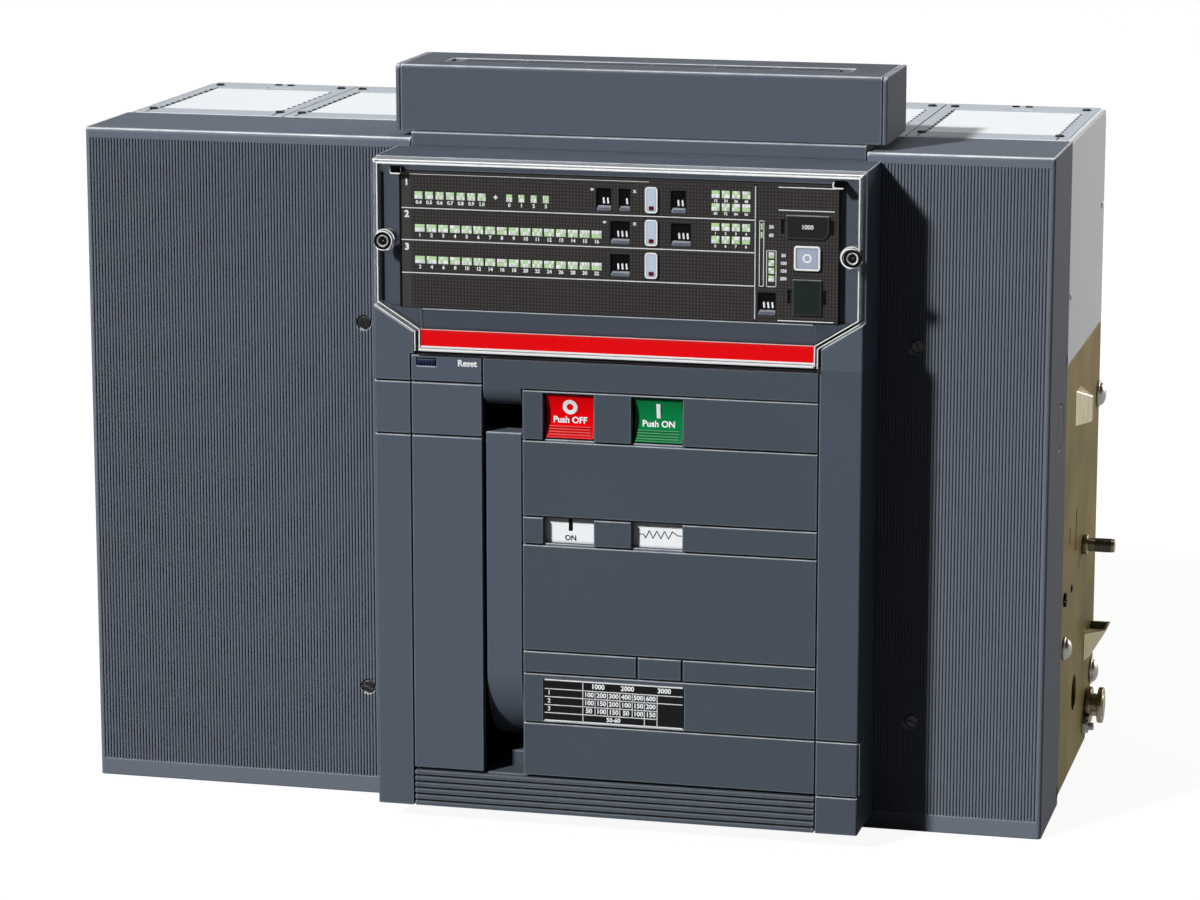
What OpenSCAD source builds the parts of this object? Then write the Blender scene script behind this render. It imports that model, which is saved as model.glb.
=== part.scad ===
// Fixed low-voltage air circuit breaker with three poles.
// Millimetres. +Z is up, the front looks along -Y.
// The origin lies on the floor in the middle of the four floor bolts.

/* [Body] */
// Overall width over the side covers
body_w = 566; // [546:1:586]
// Height of the side covers and arc chutes
body_h = 390; // [386:1:400]
// Depth of the pole case and side plates
case_d = 158; // [150:1:180]
// Free height under the pole case
case_lift = 30; // [24:1:34]
// Height of the joint between pole case and arc chutes
chute_z = 262; // [250:1:280]
// Set-back of the rear wall from the rear edge of the side plates
rear_setback = 9; // [8:0.5:14]
// Thickness of the barrier ribs on the rear wall
barrier_t = 6; // [4:0.5:8]

/* [Side covers] */
// Depth of the side covers
cover_d = 72; // [66:1:84]
// Wall of the moulded covers
wall = 3; // [2.5:0.5:4]
// Pitch of the fine vertical ribs
rib_pitch = 1.86; // [1.6:0.02:2.6]
// Width of the groove between two ribs
rib_groove = 0.7; // [0.5:0.05:1]
// Depth of the groove between two ribs
rib_depth = 0.7; // [0.4:0.05:1]
// Plain margin under the ribs
rib_low = 10; // [6:0.5:16]
// Plain margin above the ribs
rib_high = 6; // [4:0.5:12]
// Plain margin at the outer edge of the ribs
rib_side = 3; // [2:0.5:8]
// Width by which the covers reach behind the front panel
cover_tuck = 8; // [6:0.5:12]
// Radius of the cover screw recess
screw_recess_r = 4.4; // [3:0.1:6]
// Distance of the cover screws from the front panel
cover_screw_x = 21; // [14:0.5:30]
// Height of the lower cover screws
cover_screw_z = 64.6; // [40:0.2:90]
// Distance between lower and upper cover screws
cover_screw_gap = 217; // [190:1:240]
// Radius of the round knock-out in the outer wall
knock_r = 13.5; // [10:0.5:16]
// Distance of the knock-out from the front of the cover
knock_y = 47; // [36:1:54]
// Height of the knock-out
knock_z = 230; // [200:1:260]
// Rounding of the outer cover edges
cover_r = 2.5; // [1:0.25:3]

/* [Side plates] */
// Thickness of the steel side plates
plate_t = 3; // [2:0.5:4]
// Height of the lower edge of the side plates
plate_z = 5; // [4:0.5:8]
// Length of the cut at the lower rear corner
plate_cut_y = 30; // [20:1:34]
// Height of the cut at the lower rear corner
plate_cut_z = 40; // [24:1:44]
// Radius of the round hole in the side plate
plate_hole_r = 11; // [8:0.5:13]
// Outward reach of the stop tab
tab_out = 8; // [5:0.5:12]
// Height of the stop tab
tab_h = 21; // [14:1:28]
// Outward reach of the lifting lug
lug_out = 12; // [11:0.5:15]
// Length of the lifting lug
lug_l = 22; // [18:1:26]
// Height of the lifting lug
lug_h = 17; // [15:0.5:22]
// Sheet thickness of the lifting lug
lug_t = 1.8; // [1.4:0.1:2.4]
// Radius of the lock pin
pin_r = 4; // [3:0.25:6]
// Outward reach of the lock pin
pin_out = 19; // [14:0.5:24]
// Radius of the guide roller flanges
roller_r = 11; // [9:0.5:12]
// Outward reach of the guide roller
roller_out = 11; // [8:0.5:14]

/* [Feet] */
// Sheet thickness of the foot rails
foot_t = 4; // [3:0.5:6]
// Width of the foot rails
foot_w = 48; // [40:1:60]
// Distance of the floor bolts from the side plates
bolt_side = 25; // [18:0.5:34]
// Distance of the floor bolts from the rear end of the rails
bolt_end = 15; // [10:0.5:25]
// Radius of the floor bolt holes
bolt_r = 5.5; // [4:0.25:7]

/* [Arc chutes] */
// Gap between two arc chutes
chute_gap = 0.8; // [0.4:0.1:1]
// Border of the arc chute frame at its sides
border_side = 8; // [6:0.5:14]
// Border of the arc chute frame at the front
border_front = 24; // [16:0.5:30]
// Border of the arc chute frame at the rear
border_rear = 26; // [18:0.5:32]
// Bevel on the upper front edge of the arc chutes
chute_bevel = 3; // [1:0.5:5]
// Length of the oval grip hole in the rear border
grip_w = 15; // [10:0.5:20]
// Width of the oval grip hole in the rear border
grip_h = 5; // [4:0.5:7]
// Depth of the oval grip hole
grip_d = 3; // [2:0.5:5]
// Depth of the filter pocket
chute_pocket = 3; // [3:0.25:6]
// Thickness of the filter plates
filter_t = 2.5; // [1.5:0.25:3]
// Radius of the rounded rear corner of the side panels
panel_r = 8; // [4:0.5:14]
// Rounding of the upper outer edge of the side panels
panel_edge = 2; // [1:0.25:2.5]

/* [Terminals] */
// Width of one rear terminal
term_w = 150; // [120:1:156]
// Thickness of one rear terminal
term_t = 16; // [10:1:20]
// Reach of the terminals behind the rear wall
term_out = 66; // [50:1:80]
// Height of the lower terminals
term_low_z = 85; // [75:1:100]
// Height of the upper terminals
term_high_z = 205; // [190:1:220]
// Spacing of the terminal holes
term_hole_x = 80; // [60:1:100]
// Radius of the terminal holes
term_hole_r = 7; // [5:0.25:8]
// Depth of the terminal pockets in the rear wall
term_pocket = 6; // [4:0.5:8]

/* [Front panel] */
// Offset of the front panel to the right of the middle
mech_x = 46; // [36:1:56]
// Width of the front panel
shell_w = 280; // [276:1:290]
// Reach of the front panel in front of the side covers
shell_out = 50; // [48:0.5:60]
// Height of the lower edge of the front panel
shell_z = 10; // [6:0.5:12]
// Thickness of the front wall of the panel
face_t = 12; // [11:0.5:14]
// Rounding of the upright front edges of the panel
shell_r = 1.5; // [0.5:0.25:2.5]
// Reach of the side catch beside the right column
catch_out = 1; // [0.5:0.25:2]
// Thickness of the fascia plates
fascia_t = 6; // [5:0.25:7]
// Width of the left column
column_left = 21.2; // [18:0.2:22]
// Width of the fascia beside the lever slot
lever_fascia_w = 41.8; // [36:0.2:46]
// Width of the right column
column_right = 24; // [20:0.2:28]
// Gap between neighbouring panel pieces
seam = 0.8; // [0.4:0.1:0.9]
// Width of the groove lines
line_w = 1.1; // [0.8:0.1:1.6]
// Depth of the groove lines
line_d = 2; // [0.6:0.1:2.2]

/* [Panel bands] */
// Height of the ventilation grille
grille_h = 22; // [20:0.5:24]
// Number of louvres in the grille
grille_n = 6; // [4:1:8]
// Height of the gap above each louvre
louvre_gap = 1; // [0.6:0.1:1.4]
// Depth of the gap above each louvre
louvre_d = 3; // [2:0.25:4]
// Bevel on the upper edge of each louvre
louvre_lip = 0.7; // [0.3:0.1:1]
// Height of the plain band above the grille
base_band = 32; // [26:0.5:36]
// Height of the band with the rating plate
plate_band = 29; // [26:0.5:32]
// Height of the narrow band
narrow_band = 13; // [10:0.5:16]
// Height of the main plain band
main_band = 62; // [54:0.5:66]
// Height of the band with the flags
flag_band = 16; // [14:0.5:18]
// Height of the plain band above the flags
mid_band = 44; // [38:0.5:48]
// Height of the band with the two keys
key_band = 29; // [28:0.5:32]
// Height of the head band
head_band = 17.5; // [16:0.5:22]
// Height of the red strip
strip_h = 12.5; // [10:0.5:14]
// Height of the slope under the relay face
slope_h = 13.5; // [12:0.5:18]

/* [Keys and flags] */
// Distance of the first key from the edge of the control fascia
key_inset = 26.4; // [24:0.2:30]
// Distance between the two keys
key_pitch = 51; // [46:0.5:60]
// Width of the key and flag windows
key_window = 29.6; // [26:0.2:32]
// Gap around a key
key_gap = 0.8; // [0.4:0.1:0.9]
// Length of a key from front to rear
key_d = 20; // [16:0.5:22]
// Depth of the hollow in the front of a key
key_dish = 3; // [1:0.2:4]
// Set-back of the key edges behind the panel face
key_back = 2.5; // [0:0.25:4]
// Width of the reset key
reset_w = 10.6; // [8:0.2:14]
// Height of the reset key
reset_h = 3.6; // [3:0.2:6]
// Gap around the reset key
reset_gap = 0.5; // [0.3:0.1:0.8]
// Amount by which the reset key stands out of the panel
reset_proud = 0.5; // [0:0.25:2]
// Thickness of the flag plates
flag_t = 2; // [1.5:0.25:3]

/* [Charging lever] */
// Width of the lever slot
slot_w = 23.7; // [20:0.1:26]
// Gap at each side of the lever
lever_gap = 1.45; // [1:0.05:2]
// Depth of the lever face behind the panel face
lever_recess = 3; // [0:0.25:5]
// Rounding of the upper end of the lever
lever_round = 1; // [0.5:0.25:5]
// Thickness of the lever handle
lever_t = 14; // [10:0.5:16]
// Height of the pivot above the grille
pivot_h = 59.5; // [57:0.5:62]
// Height of the handle above the pivot
handle_h = 139.5; // [120:0.5:142]
// Height of the finger gap above the handle
finger_gap = 15; // [13:0.5:18]
// Radius of the pivot pin
pivot_r = 5; // [3:0.25:7]
// Running gap between pin and lever
pivot_gap = 0.08; // [0.05:0.01:0.1]
// Radius of the lever hub
hub_r = 11; // [10:0.5:14]
// Angle of the curved end of the lever
heel_angle = 85; // [45:1:88]
// Thickness of the web between hub and curved end
web_t = 8; // [6:0.5:12]

/* [Relay] */
// Margin beside the relay face
relay_side = 15; // [14:0.5:20]
// Height of the relay face
relay_h = 76.5; // [70:0.5:80]
// Depth of the relay behind the panel face
relay_d = 46; // [40:0.5:47]
// Margin above the relay face
relay_top = 8; // [6:0.5:12]
// Depth of the recess for the clear cover
recess_d = 8; // [7:0.25:9]
// Thickness of the clear cover
clear_t = 2; // [1.5:0.25:2.5]
// Amount by which the clear cover stands out of the panel
clear_proud = 2.5; // [2:0.25:4]
// Inset of the lower part of the clear cover
tab_inset = 24; // [23:0.5:28]
// Height of the slanted corner of the clear cover
slant_h = 15; // [10:0.5:18]
// Radius of the captive screw holes in the clear cover
captive_r = 3.4; // [2.5:0.1:4]
// Radius of the bosses around the captive screws
boss_r = 5.6; // [5:0.1:6]
// Amount by which the bosses stand out of the clear cover
boss_out = 1; // [0.5:0.25:2]
// Depth of the relay face and of the ledge behind the red strip
ledge_d = 3; // [2:0.25:4]
// Depth of the upper edge of the sloped ledge
ledge_top_d = 1.5; // [1:0.25:2.5]
// Depth of the foot of the sloped ledge
ledge_foot_d = 4; // [3:0.25:6]

/* [Terminal box] */
// Width of the terminal box
box_w = 284; // [270:1:300]
// Depth of the terminal box
box_d = 64; // [56:0.5:66]
// Height of the terminal box
box_h = 38; // [30:0.5:46]
// Height of the strip under the terminal box above the covers
strip_rise = 3.3; // [2:0.1:6]
// Thickness of the end plates of the terminal box
box_end_t = 2.5; // [2:0.25:4]
// Rounding of the upper front edge of the terminal box
box_r = 2; // [1:0.25:4]
// Depth of the trough in the top of the terminal box
trough_d = 1.5; // [1:0.25:4]
// Width of the trough in the top of the terminal box
trough_w = 18; // [12:0.5:24]

/* [Hidden] */
$fn = 64;
// Small overshoot of cutting bodies
eps = 1;
// Number of arc chutes and of poles
chute_n = 6;
pole_n = 3;
// Planes from front to rear
case_y0 = -case_d / 2;
case_y1 = case_d / 2;
rear_y = case_y1 - rear_setback;
cover_y = case_y0 - cover_d;
shell_y = cover_y - shell_out;
// Depth of the cover screw recess
screw_recess_d = wall - 1;
// Set-back of the barrier ribs from the rear edge of the side plates
barrier_in = 1;
// Half widths
half_w = body_w / 2;
inner_w = half_w - plate_t;
chute_pitch = 2 * inner_w / chute_n;
pole_pitch = 2 * inner_w / pole_n;
// Joint between steel plate and chute panel
plate_top = chute_z - 2;
panel_seam = 0.5;
// Features of the side plate, measured from the front edge of the plate
plate_hole_y = case_y0 + 66;
plate_hole_z = 50;
slot_cut_w = 4;
long_slot_y = case_y0 + 57;
long_slot_z = 139;
long_slot_h = 25;
short_slot_y = case_y0 + 29;
short_slot_z = 148;
short_slot_h = 11;
tab_y = case_y0 + 60;
tab_z = 217;
tab_slant = 6;
lug_y = case_y1 - 34;
lug_z = 58;
lug_foot = 2.2;
lug_slope = (lug_out - lug_foot) / lug_h;
pin_y = case_y0 + 95;
pin_z = 134.7;
pin_collar_r = pin_r + 2;
pin_collar_h = 3;
roller_y = case_y1 - 28;
roller_z = 26;
roller_hub_r = roller_r - 4;
roller_flange = 3;
roller_edge = 0.5;
// Rear end of the foot rails
foot_end = case_y1 - plate_cut_y + 8;
bolt_x = 2 * (inner_w - bolt_side);
bolt_y = 2 * (foot_end - bolt_end);
// Front panel columns and bands
shell_x0 = mech_x - shell_w / 2;
shell_x1 = mech_x + shell_w / 2;
panel_x0 = shell_x0 + column_left;
panel_x1 = shell_x1 - column_right;
slot_x0 = panel_x0 + lever_fascia_w;
slot_x1 = slot_x0 + slot_w;
grille_top = shell_z + grille_h;
plate_band_z = grille_top + base_band;
narrow_z = plate_band_z + plate_band;
main_z = narrow_z + narrow_band;
flag_z = main_z + main_band;
mid_z = flag_z + flag_band;
key_z = mid_z + mid_band;
head_z = key_z + key_band;
strip_z = head_z + head_band;
slope_z = strip_z + strip_h;
relay_z = slope_z + slope_h;
shell_top = relay_z + relay_h + relay_top;
fascia_y1 = shell_y + fascia_t;
// Rows of groove lines on the control fascia
row_lines = [plate_band_z, narrow_z, main_z, flag_z, mid_z, key_z];
head_rise = 1.6;
left_lines = [key_z, head_z + head_rise];
right_lines = [plate_band_z, grille_top];
// Rating plate place and blank window
plate_place_w = 82;
plate_place_h = 25;
plate_place_d = 0.8;
blank_w = 26;
// Keys
key_x1 = slot_x1 + key_inset;
key_x2 = key_x1 + key_pitch;
plate_place_x = key_x1 - key_window / 2;
key_w = key_window - 2 * key_gap;
key_rim = 1;
key_top = head_z - seam - key_rim;
key_h = key_top - key_z - line_w / 2 - 2 * key_gap;
key_mid = (key_top + key_z + line_w / 2) / 2;
dish_r = key_h * key_h / (8 * key_dish) + key_dish / 2;
reset_x = panel_x0 + 9.6;
reset_z = strip_z - 4.6;
reset_d = 14;
flag_margin = 3;
// Lever
lever_w = slot_w - 2 * lever_gap;
lever_x = (slot_x0 + slot_x1) / 2;
lever_y = shell_y + lever_recess;
pivot_y = cover_y;
pivot_z = grille_top + pivot_h;
lever_r = pivot_y - lever_y;
handle_top = pivot_z + handle_h;
lip_z = handle_top + finger_gap;
lip_r = head_z - lip_z;
block_gap = 0.4;
block_y = cover_y - 20;
block_top = relay_z - 3.5;
floor_t = 3;
stop_w = 12;
stop_h = 9;
stop_y0 = shell_y + 19.5;
stop_y1 = cover_y - 13;
// Relay
relay_x0 = shell_x0 + relay_side;
relay_x1 = shell_x1 - relay_side;
relay_y = shell_y + ledge_d;
relay_gap = 0.4;
part_proud = 1.5;
strip_t = 1;
plug_w = 24;
plug_h = 13;
plug_x = relay_x1 - 17;
plug_z = relay_z + 47;
test_w = 14.6;
test_h = 13.6;
test_z = relay_z + 29.5;
cap_w = 16;
cap_h = 20;
cap_z = relay_z + 4.5;
divider_x = relay_x1 - 46.6;
divider_w = 0.8;
plug_corner = 3;
clip_w = 3;
clip_h = 8;
clip_d = 2;
key_corner = 1.6;
// Rows of the relay face, from the top row down
row_z = relay_z + 58.2;
row_pitch = 18.3;
// Switch pockets of the relay, each [distance from the right end, row, width]
switch_d = 2;
switch_h = 13;
switches = [[136.4, 0, 8.6], [123.6, 0, 6.6], [94.1, 0, 8.6], [128.4, 1, 11.2], [94, 1, 11.4],
    [128.4, 2, 11.2], [44.8, 3, 10.2]];
// Raised lamp windows of the relay, one for each of the three upper rows
lamp_rows = 3;
lamp_x = relay_x1 - 104.8;
lamp_w = 7.2;
lamp_h = 14.6;
lamp_r = 1.8;
lamp_proud = 1;
// Clear cover
clear_y0 = shell_y - clear_proud;
clear_edge = 0.6;
captive_x = 7;
captive_z = relay_z + 38;
clear_r = 2.5;
hook_w = 5;
hook_h = 2.5;
hook_x = 12;
hook_z = shell_top - 8;
// Inner margin of the ledge behind the clear cover
ledge_play = 0.5;
ledge_gap = clear_edge + clear_t + ledge_play;
// Terminal box
box_y = cover_y + 5;
box_z = body_h + strip_rise;
frame_gap = 0.5;
box_x0 = mech_x - box_w / 2;
box_x1 = mech_x + box_w / 2;
box_seam = 0.4;
trough_x = 22;
trough_y = 19;
trough_notch = 6;
end_r = 3;
// Terminals
term_inner_y = rear_y - term_pocket;
term_hole_y = rear_y + 44;
pocket_margin = 4;
pocket_w = term_w + 2 * pocket_margin;
pocket_h = term_t + 2 * pocket_margin;
heights = [term_low_z, term_high_z];

// Box between two opposite corners
module block(lo, hi) {
    translate(lo) cube(hi - lo);
}

// Round bar along X
module bar_x(x0, x1, y, z, r) {
    translate([x0, y, z]) rotate([0, 90, 0]) cylinder(h = x1 - x0, r = r);
}

// Round bar along Y
module bar_y(x, y0, y1, z, r) {
    translate([x, y0, z]) rotate([-90, 0, 0]) cylinder(h = y1 - y0, r = r);
}

// Outline in Y and Z drawn out along X
module slab_x(x0, x1, points) {
    translate([x0, 0, 0]) rotate([90, 0, 90]) linear_extrude(height = x1 - x0) polygon(points);
}

// Outline in X and Z drawn out along Y
module slab_y(y0, y1, points) {
    translate([0, y1, 0]) rotate([90, 0, 0]) linear_extrude(height = y1 - y0) polygon(points);
}

// Cutter that rounds an edge along X, where sy and sz point out of the material
module edge_x(x0, x1, y, z, r, sy, sz) {
    difference() {
        block([x0, min(y - sy * r, y + sy * eps), min(z - sz * r, z + sz * eps)],
            [x1, max(y - sy * r, y + sy * eps), max(z - sz * r, z + sz * eps)]);
        bar_x(x0 - eps, x1 + eps, y - sy * r, z - sz * r, r);
    }
}

// Cutter that rounds an edge along Y, where sx and sz point out of the material
module edge_y(x, y0, y1, z, r, sx, sz) {
    difference() {
        block([min(x - sx * r, x + sx * eps), y0, min(z - sz * r, z + sz * eps)],
            [max(x - sx * r, x + sx * eps), y1, max(z - sz * r, z + sz * eps)]);
        bar_y(x - sx * r, y0 - eps, y1 + eps, z - sz * r, r);
    }
}

// Cutter that rounds an edge along Z, where sx and sy point out of the material
module edge_z(x, y, z0, z1, r, sx, sy) {
    difference() {
        block([min(x - sx * r, x + sx * eps), min(y - sy * r, y + sy * eps), z0],
            [max(x - sx * r, x + sx * eps), max(y - sy * r, y + sy * eps), z1]);
        translate([x - sx * r, y - sy * r, z0 - eps]) cylinder(h = z1 - z0 + 2 * eps, r = r);
    }
}

// Upright plate with four round corners, centre x, bottom z, width and height
module round_plate(x, z, w, h, y0, y1, r) {
    block([x - w / 2 + r, y0, z], [x + w / 2 - r, y1, z + h]);
    block([x - w / 2, y0, z + r], [x + w / 2, y1, z + h - r]);
    for (sx = [-1, 1], cz = [z + r, z + h - r])
        bar_y(x + sx * (w / 2 - r), y0, y1, cz, r);
}

// Moulded case of the three poles with barriers and terminal pockets at the rear
module pole_case() {
    color([0.16, 0.13, 0.12]) difference() {
        union() {
            block([-inner_w, case_y0, case_lift], [inner_w, rear_y, chute_z]);
            for (i = [1 : pole_n - 1])
                block([-inner_w + i * pole_pitch - barrier_t / 2, rear_y - eps, case_lift],
                    [-inner_w + i * pole_pitch + barrier_t / 2, case_y1 - barrier_in, chute_z]);
        }
        for (i = [0 : pole_n - 1], z = heights)
            block([(i - 1) * pole_pitch - pocket_w / 2, term_inner_y, z - pocket_h / 2],
                [(i - 1) * pole_pitch + pocket_w / 2, case_y1 + eps, z + pocket_h / 2]);
    }
}

// Steel side plate of the right side with stop tab, hole and slots
module side_plate() {
    color([0.5, 0.46, 0.3]) difference() {
        union() {
            slab_x(inner_w, half_w, [[case_y0 + panel_seam, plate_z], [case_y1 - plate_cut_y, plate_z],
                [case_y1, plate_z + plate_cut_z], [case_y1, plate_top], [case_y0 + panel_seam, plate_top]]);
            slab_y(tab_y, tab_y + plate_t, [[inner_w + eps, tab_z], [half_w + tab_out, tab_z],
                [half_w + tab_out, tab_z + tab_h - tab_slant], [half_w, tab_z + tab_h],
                [inner_w + eps, tab_z + tab_h]]);
        }
        bar_x(inner_w - eps, half_w + eps, plate_hole_y, plate_hole_z, plate_hole_r);
        block([inner_w - eps, long_slot_y, long_slot_z],
            [half_w + eps, long_slot_y + slot_cut_w, long_slot_z + long_slot_h]);
        block([inner_w - eps, short_slot_y, short_slot_z],
            [half_w + eps, short_slot_y + slot_cut_w, short_slot_z + short_slot_h]);
    }
}

// Folded lifting lug of the right side, open at the top
module lifting_lug() {
    color([0.55, 0.5, 0.33]) difference() {
        slab_y(lug_y, lug_y + lug_l, [[half_w, lug_z], [half_w + lug_foot, lug_z],
            [half_w + lug_out, lug_z + lug_h], [half_w, lug_z + lug_h]]);
        slab_y(lug_y + lug_t, lug_y + lug_l - lug_t, [[half_w - eps, lug_z + lug_t],
            [half_w + lug_foot - lug_t + lug_slope * lug_t, lug_z + lug_t],
            [half_w + lug_out - lug_t + lug_slope * eps, lug_z + lug_h + eps],
            [half_w - eps, lug_z + lug_h + eps]]);
    }
}

// Lock pin of the right side with its collar
module lock_pin() {
    color([0.7, 0.68, 0.6]) union() {
        bar_x(half_w, half_w + pin_out, pin_y, pin_z, pin_r);
        bar_x(half_w, half_w + pin_collar_h, pin_y, pin_z, pin_collar_r);
    }
}

// Flanged guide roller of the right side
module guide_roller() {
    color([0.62, 0.58, 0.42]) union() {
        bar_x(half_w, half_w + roller_out, roller_y, roller_z, roller_hub_r);
        for (x = [roller_edge, roller_out - roller_edge - roller_flange])
            bar_x(half_w + x, half_w + x + roller_flange, roller_y, roller_z, roller_r);
    }
}

// Angle foot of the right side with two floor bolt holes
module foot_rail() {
    color([0.5, 0.46, 0.3]) difference() {
        union() {
            block([inner_w - foot_w, case_y0 + eps, 0], [inner_w, foot_end, foot_t]);
            block([inner_w - foot_t, case_y0 + eps, 0], [inner_w, foot_end, case_lift]);
        }
        for (s = [-1, 1])
            translate([bolt_x / 2, s * bolt_y / 2, -eps]) cylinder(h = foot_t + 2 * eps, r = bolt_r);
    }
}

// Light side panel beside the outer arc chute of the right side
module chute_panel() {
    color([0.58, 0.59, 0.6]) difference() {
        block([inner_w, case_y0 + panel_seam, plate_top + panel_seam], [half_w, case_y1, body_h]);
        edge_x(inner_w - eps, half_w + eps, case_y1, body_h, panel_r, 1, 1);
        edge_y(half_w, case_y0, case_y1 - panel_r, body_h, panel_edge, 1, 1);
    }
}

// One arc chute with a bevelled front, the filter pocket and the oval grip hole
module arc_chute(i) {
    x0 = -inner_w + i * chute_pitch + chute_gap / 2;
    x1 = x0 + chute_pitch - chute_gap;
    mid = (x0 + x1) / 2;
    y0 = case_y0 + panel_seam;
    grip_y = case_y1 - border_rear + grip_h;
    color([0.72, 0.75, 0.78]) difference() {
        slab_x(x0, x1, [[y0, chute_z], [case_y1, chute_z], [case_y1, body_h], [y0 + chute_bevel, body_h],
            [y0, body_h - chute_bevel]]);
        block([x0 + border_side, y0 + border_front, body_h - chute_pocket],
            [x1 - border_side, case_y1 - border_rear, body_h + eps]);
        block([mid - grip_w / 2 + grip_h / 2, grip_y - grip_h / 2, body_h - grip_d],
            [mid + grip_w / 2 - grip_h / 2, grip_y + grip_h / 2, body_h + eps]);
        for (s = [-1, 1])
            translate([mid + s * (grip_w - grip_h) / 2, grip_y, body_h - grip_d])
                cylinder(h = grip_d + eps, r = grip_h / 2);
    }
}

// White filter plates lying in the pockets of the arc chutes
module chute_filters() {
    margin = border_side + chute_gap;
    y0 = case_y0 + border_front + 2 * panel_seam;
    y1 = case_y1 - border_rear - panel_seam;
    z0 = body_h - chute_pocket;
    color([0.92, 0.94, 0.96]) for (i = [0 : chute_n - 1])
        block([-inner_w + i * chute_pitch + margin, y0, z0],
            [-inner_w + (i + 1) * chute_pitch - margin, y1, z0 + filter_t]);
}

// Flat rear terminal with two bolt holes
module terminal(i, z) {
    x = (i - 1) * pole_pitch;
    color([0.78, 0.76, 0.72]) difference() {
        block([x - term_w / 2, term_inner_y, z - term_t / 2],
            [x + term_w / 2, rear_y + term_out, z + term_t / 2]);
        for (s = [-1, 1])
            translate([x + s * term_hole_x / 2, term_hole_y, z - term_t / 2 - eps])
                cylinder(h = term_t + 2 * eps, r = term_hole_r);
    }
}

// Hollow ribbed side cover, side -1 is left and side 1 is right
module side_cover(side) {
    edge = mech_x + side * (shell_w / 2 - cover_tuck);
    x0 = min(side * half_w, edge);
    x1 = max(side * half_w, edge);
    in0 = side < 0 ? x0 + wall : x0 - eps;
    in1 = side < 0 ? x1 + eps : x1 - wall;
    rib_x0 = side < 0 ? x0 + rib_side : x0 + cover_tuck;
    rib_x1 = side < 0 ? x1 - cover_tuck : x1 - rib_side;
    screw_x = mech_x + side * (shell_w / 2 + cover_screw_x);
    color([0.3, 0.33, 0.37]) difference() {
        block([x0, cover_y, 0], [x1, case_y0, body_h]);
        block([in0, cover_y + wall, wall], [in1, case_y0 + eps, body_h - wall]);
        for (x = [rib_x0 : rib_pitch : rib_x1 - rib_groove])
            block([x, cover_y - eps, rib_low], [x + rib_groove, cover_y + rib_depth, body_h - rib_high]);
        for (k = [0, 1])
            bar_y(screw_x, cover_y - eps, cover_y + screw_recess_d, cover_screw_z + k * cover_screw_gap,
                screw_recess_r);
        edge_x(x0 - eps, x1 + eps, cover_y, body_h, cover_r, -1, 1);
        edge_z(side * half_w, cover_y, -eps, body_h + eps, cover_r, side, -1);
        knock_out(side);
    }
}

// Ring groove of the round knock-out in the outer wall of a side cover
module knock_out(side) {
    y = cover_y + knock_y;
    difference() {
        bar_x(side * half_w - line_d, side * half_w + line_d, y, knock_z, knock_r);
        bar_x(side * half_w - 2 * line_d, side * half_w + 2 * line_d, y, knock_z, knock_r - line_w);
    }
}

// Mechanism block to the left of the lever slot
module left_mechanism_block() {
    color([0.13, 0.13, 0.14])
        block([shell_x0 + cover_tuck + frame_gap, block_y, shell_z + wall + frame_gap],
            [slot_x0 - block_gap, case_y0, block_top]);
}

// Mechanism block to the right of the lever slot
module right_mechanism_block() {
    color([0.13, 0.13, 0.14])
        block([slot_x1 + block_gap, block_y, shell_z + wall + frame_gap],
            [shell_x1 - cover_tuck - frame_gap, case_y0, block_top]);
}

// Frame above the mechanism that carries the terminal box
module upper_frame() {
    color([0.3, 0.33, 0.37])
        block([shell_x0 + cover_tuck + frame_gap, cover_y, block_top],
            [shell_x1 - cover_tuck - frame_gap, case_y0, box_z]);
}

// Body of the terminal box with a rounded front edge and a trough in its top
module terminal_box() {
    x0 = box_x0 + box_end_t + box_seam;
    x1 = box_x1 - box_end_t - box_seam;
    top = box_z + box_h;
    color([0.33, 0.36, 0.4]) difference() {
        block([x0, box_y, box_z], [x1, box_y + box_d, top]);
        edge_x(x0 - eps, x1 + eps, box_y, top, box_r, -1, 1);
        block([x0 + trough_x, box_y + trough_y, top - trough_d],
            [x1 - trough_x, box_y + trough_y + trough_w, top + eps]);
        for (x = [x0 + trough_x, x1 - trough_x - trough_notch])
            block([x, box_y + trough_y, top - 2 * trough_d],
                [x + trough_notch, box_y + trough_y + trough_notch, top + eps]);
    }
}

// End plate of the terminal box, side -1 is left and side 1 is right
module box_end(side) {
    x0 = side < 0 ? box_x0 : box_x1 - box_end_t;
    top = box_z + box_h;
    color([0.34, 0.37, 0.41]) difference() {
        block([x0, box_y, box_z], [x0 + box_end_t, box_y + box_d, top]);
        edge_x(x0 - eps, x0 + box_end_t + eps, box_y, top, end_r, -1, 1);
        edge_z(side < 0 ? box_x0 : box_x1, box_y, box_z - eps, top + eps, box_end_t / 2, side, -1);
    }
}

// Outline of the clear cover in X and Z, drawn in by m on every side
function clear_outline(m) = [[shell_x0 + m, shell_top - m], [shell_x1 - m, shell_top - m],
    [shell_x1 - m, slope_z + slant_h + m / 2], [shell_x1 - tab_inset - m, slope_z + m / 2],
    [shell_x1 - tab_inset - m, strip_z + m], [shell_x0 + tab_inset + m, strip_z + m],
    [shell_x0 + tab_inset + m, slope_z + m / 2], [shell_x0 + m, slope_z + slant_h + m / 2]];

// Front panel with its shell and the catch at the side of the right column
module front_shell() {
    color([0.31, 0.34, 0.39]) union() {
        panel_shell();
        block([shell_x1 - wall, shell_y + shell_r, grille_top + line_w],
            [shell_x1 + catch_out, shell_y + face_t, plate_band_z - line_w]);
    }
}

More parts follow.
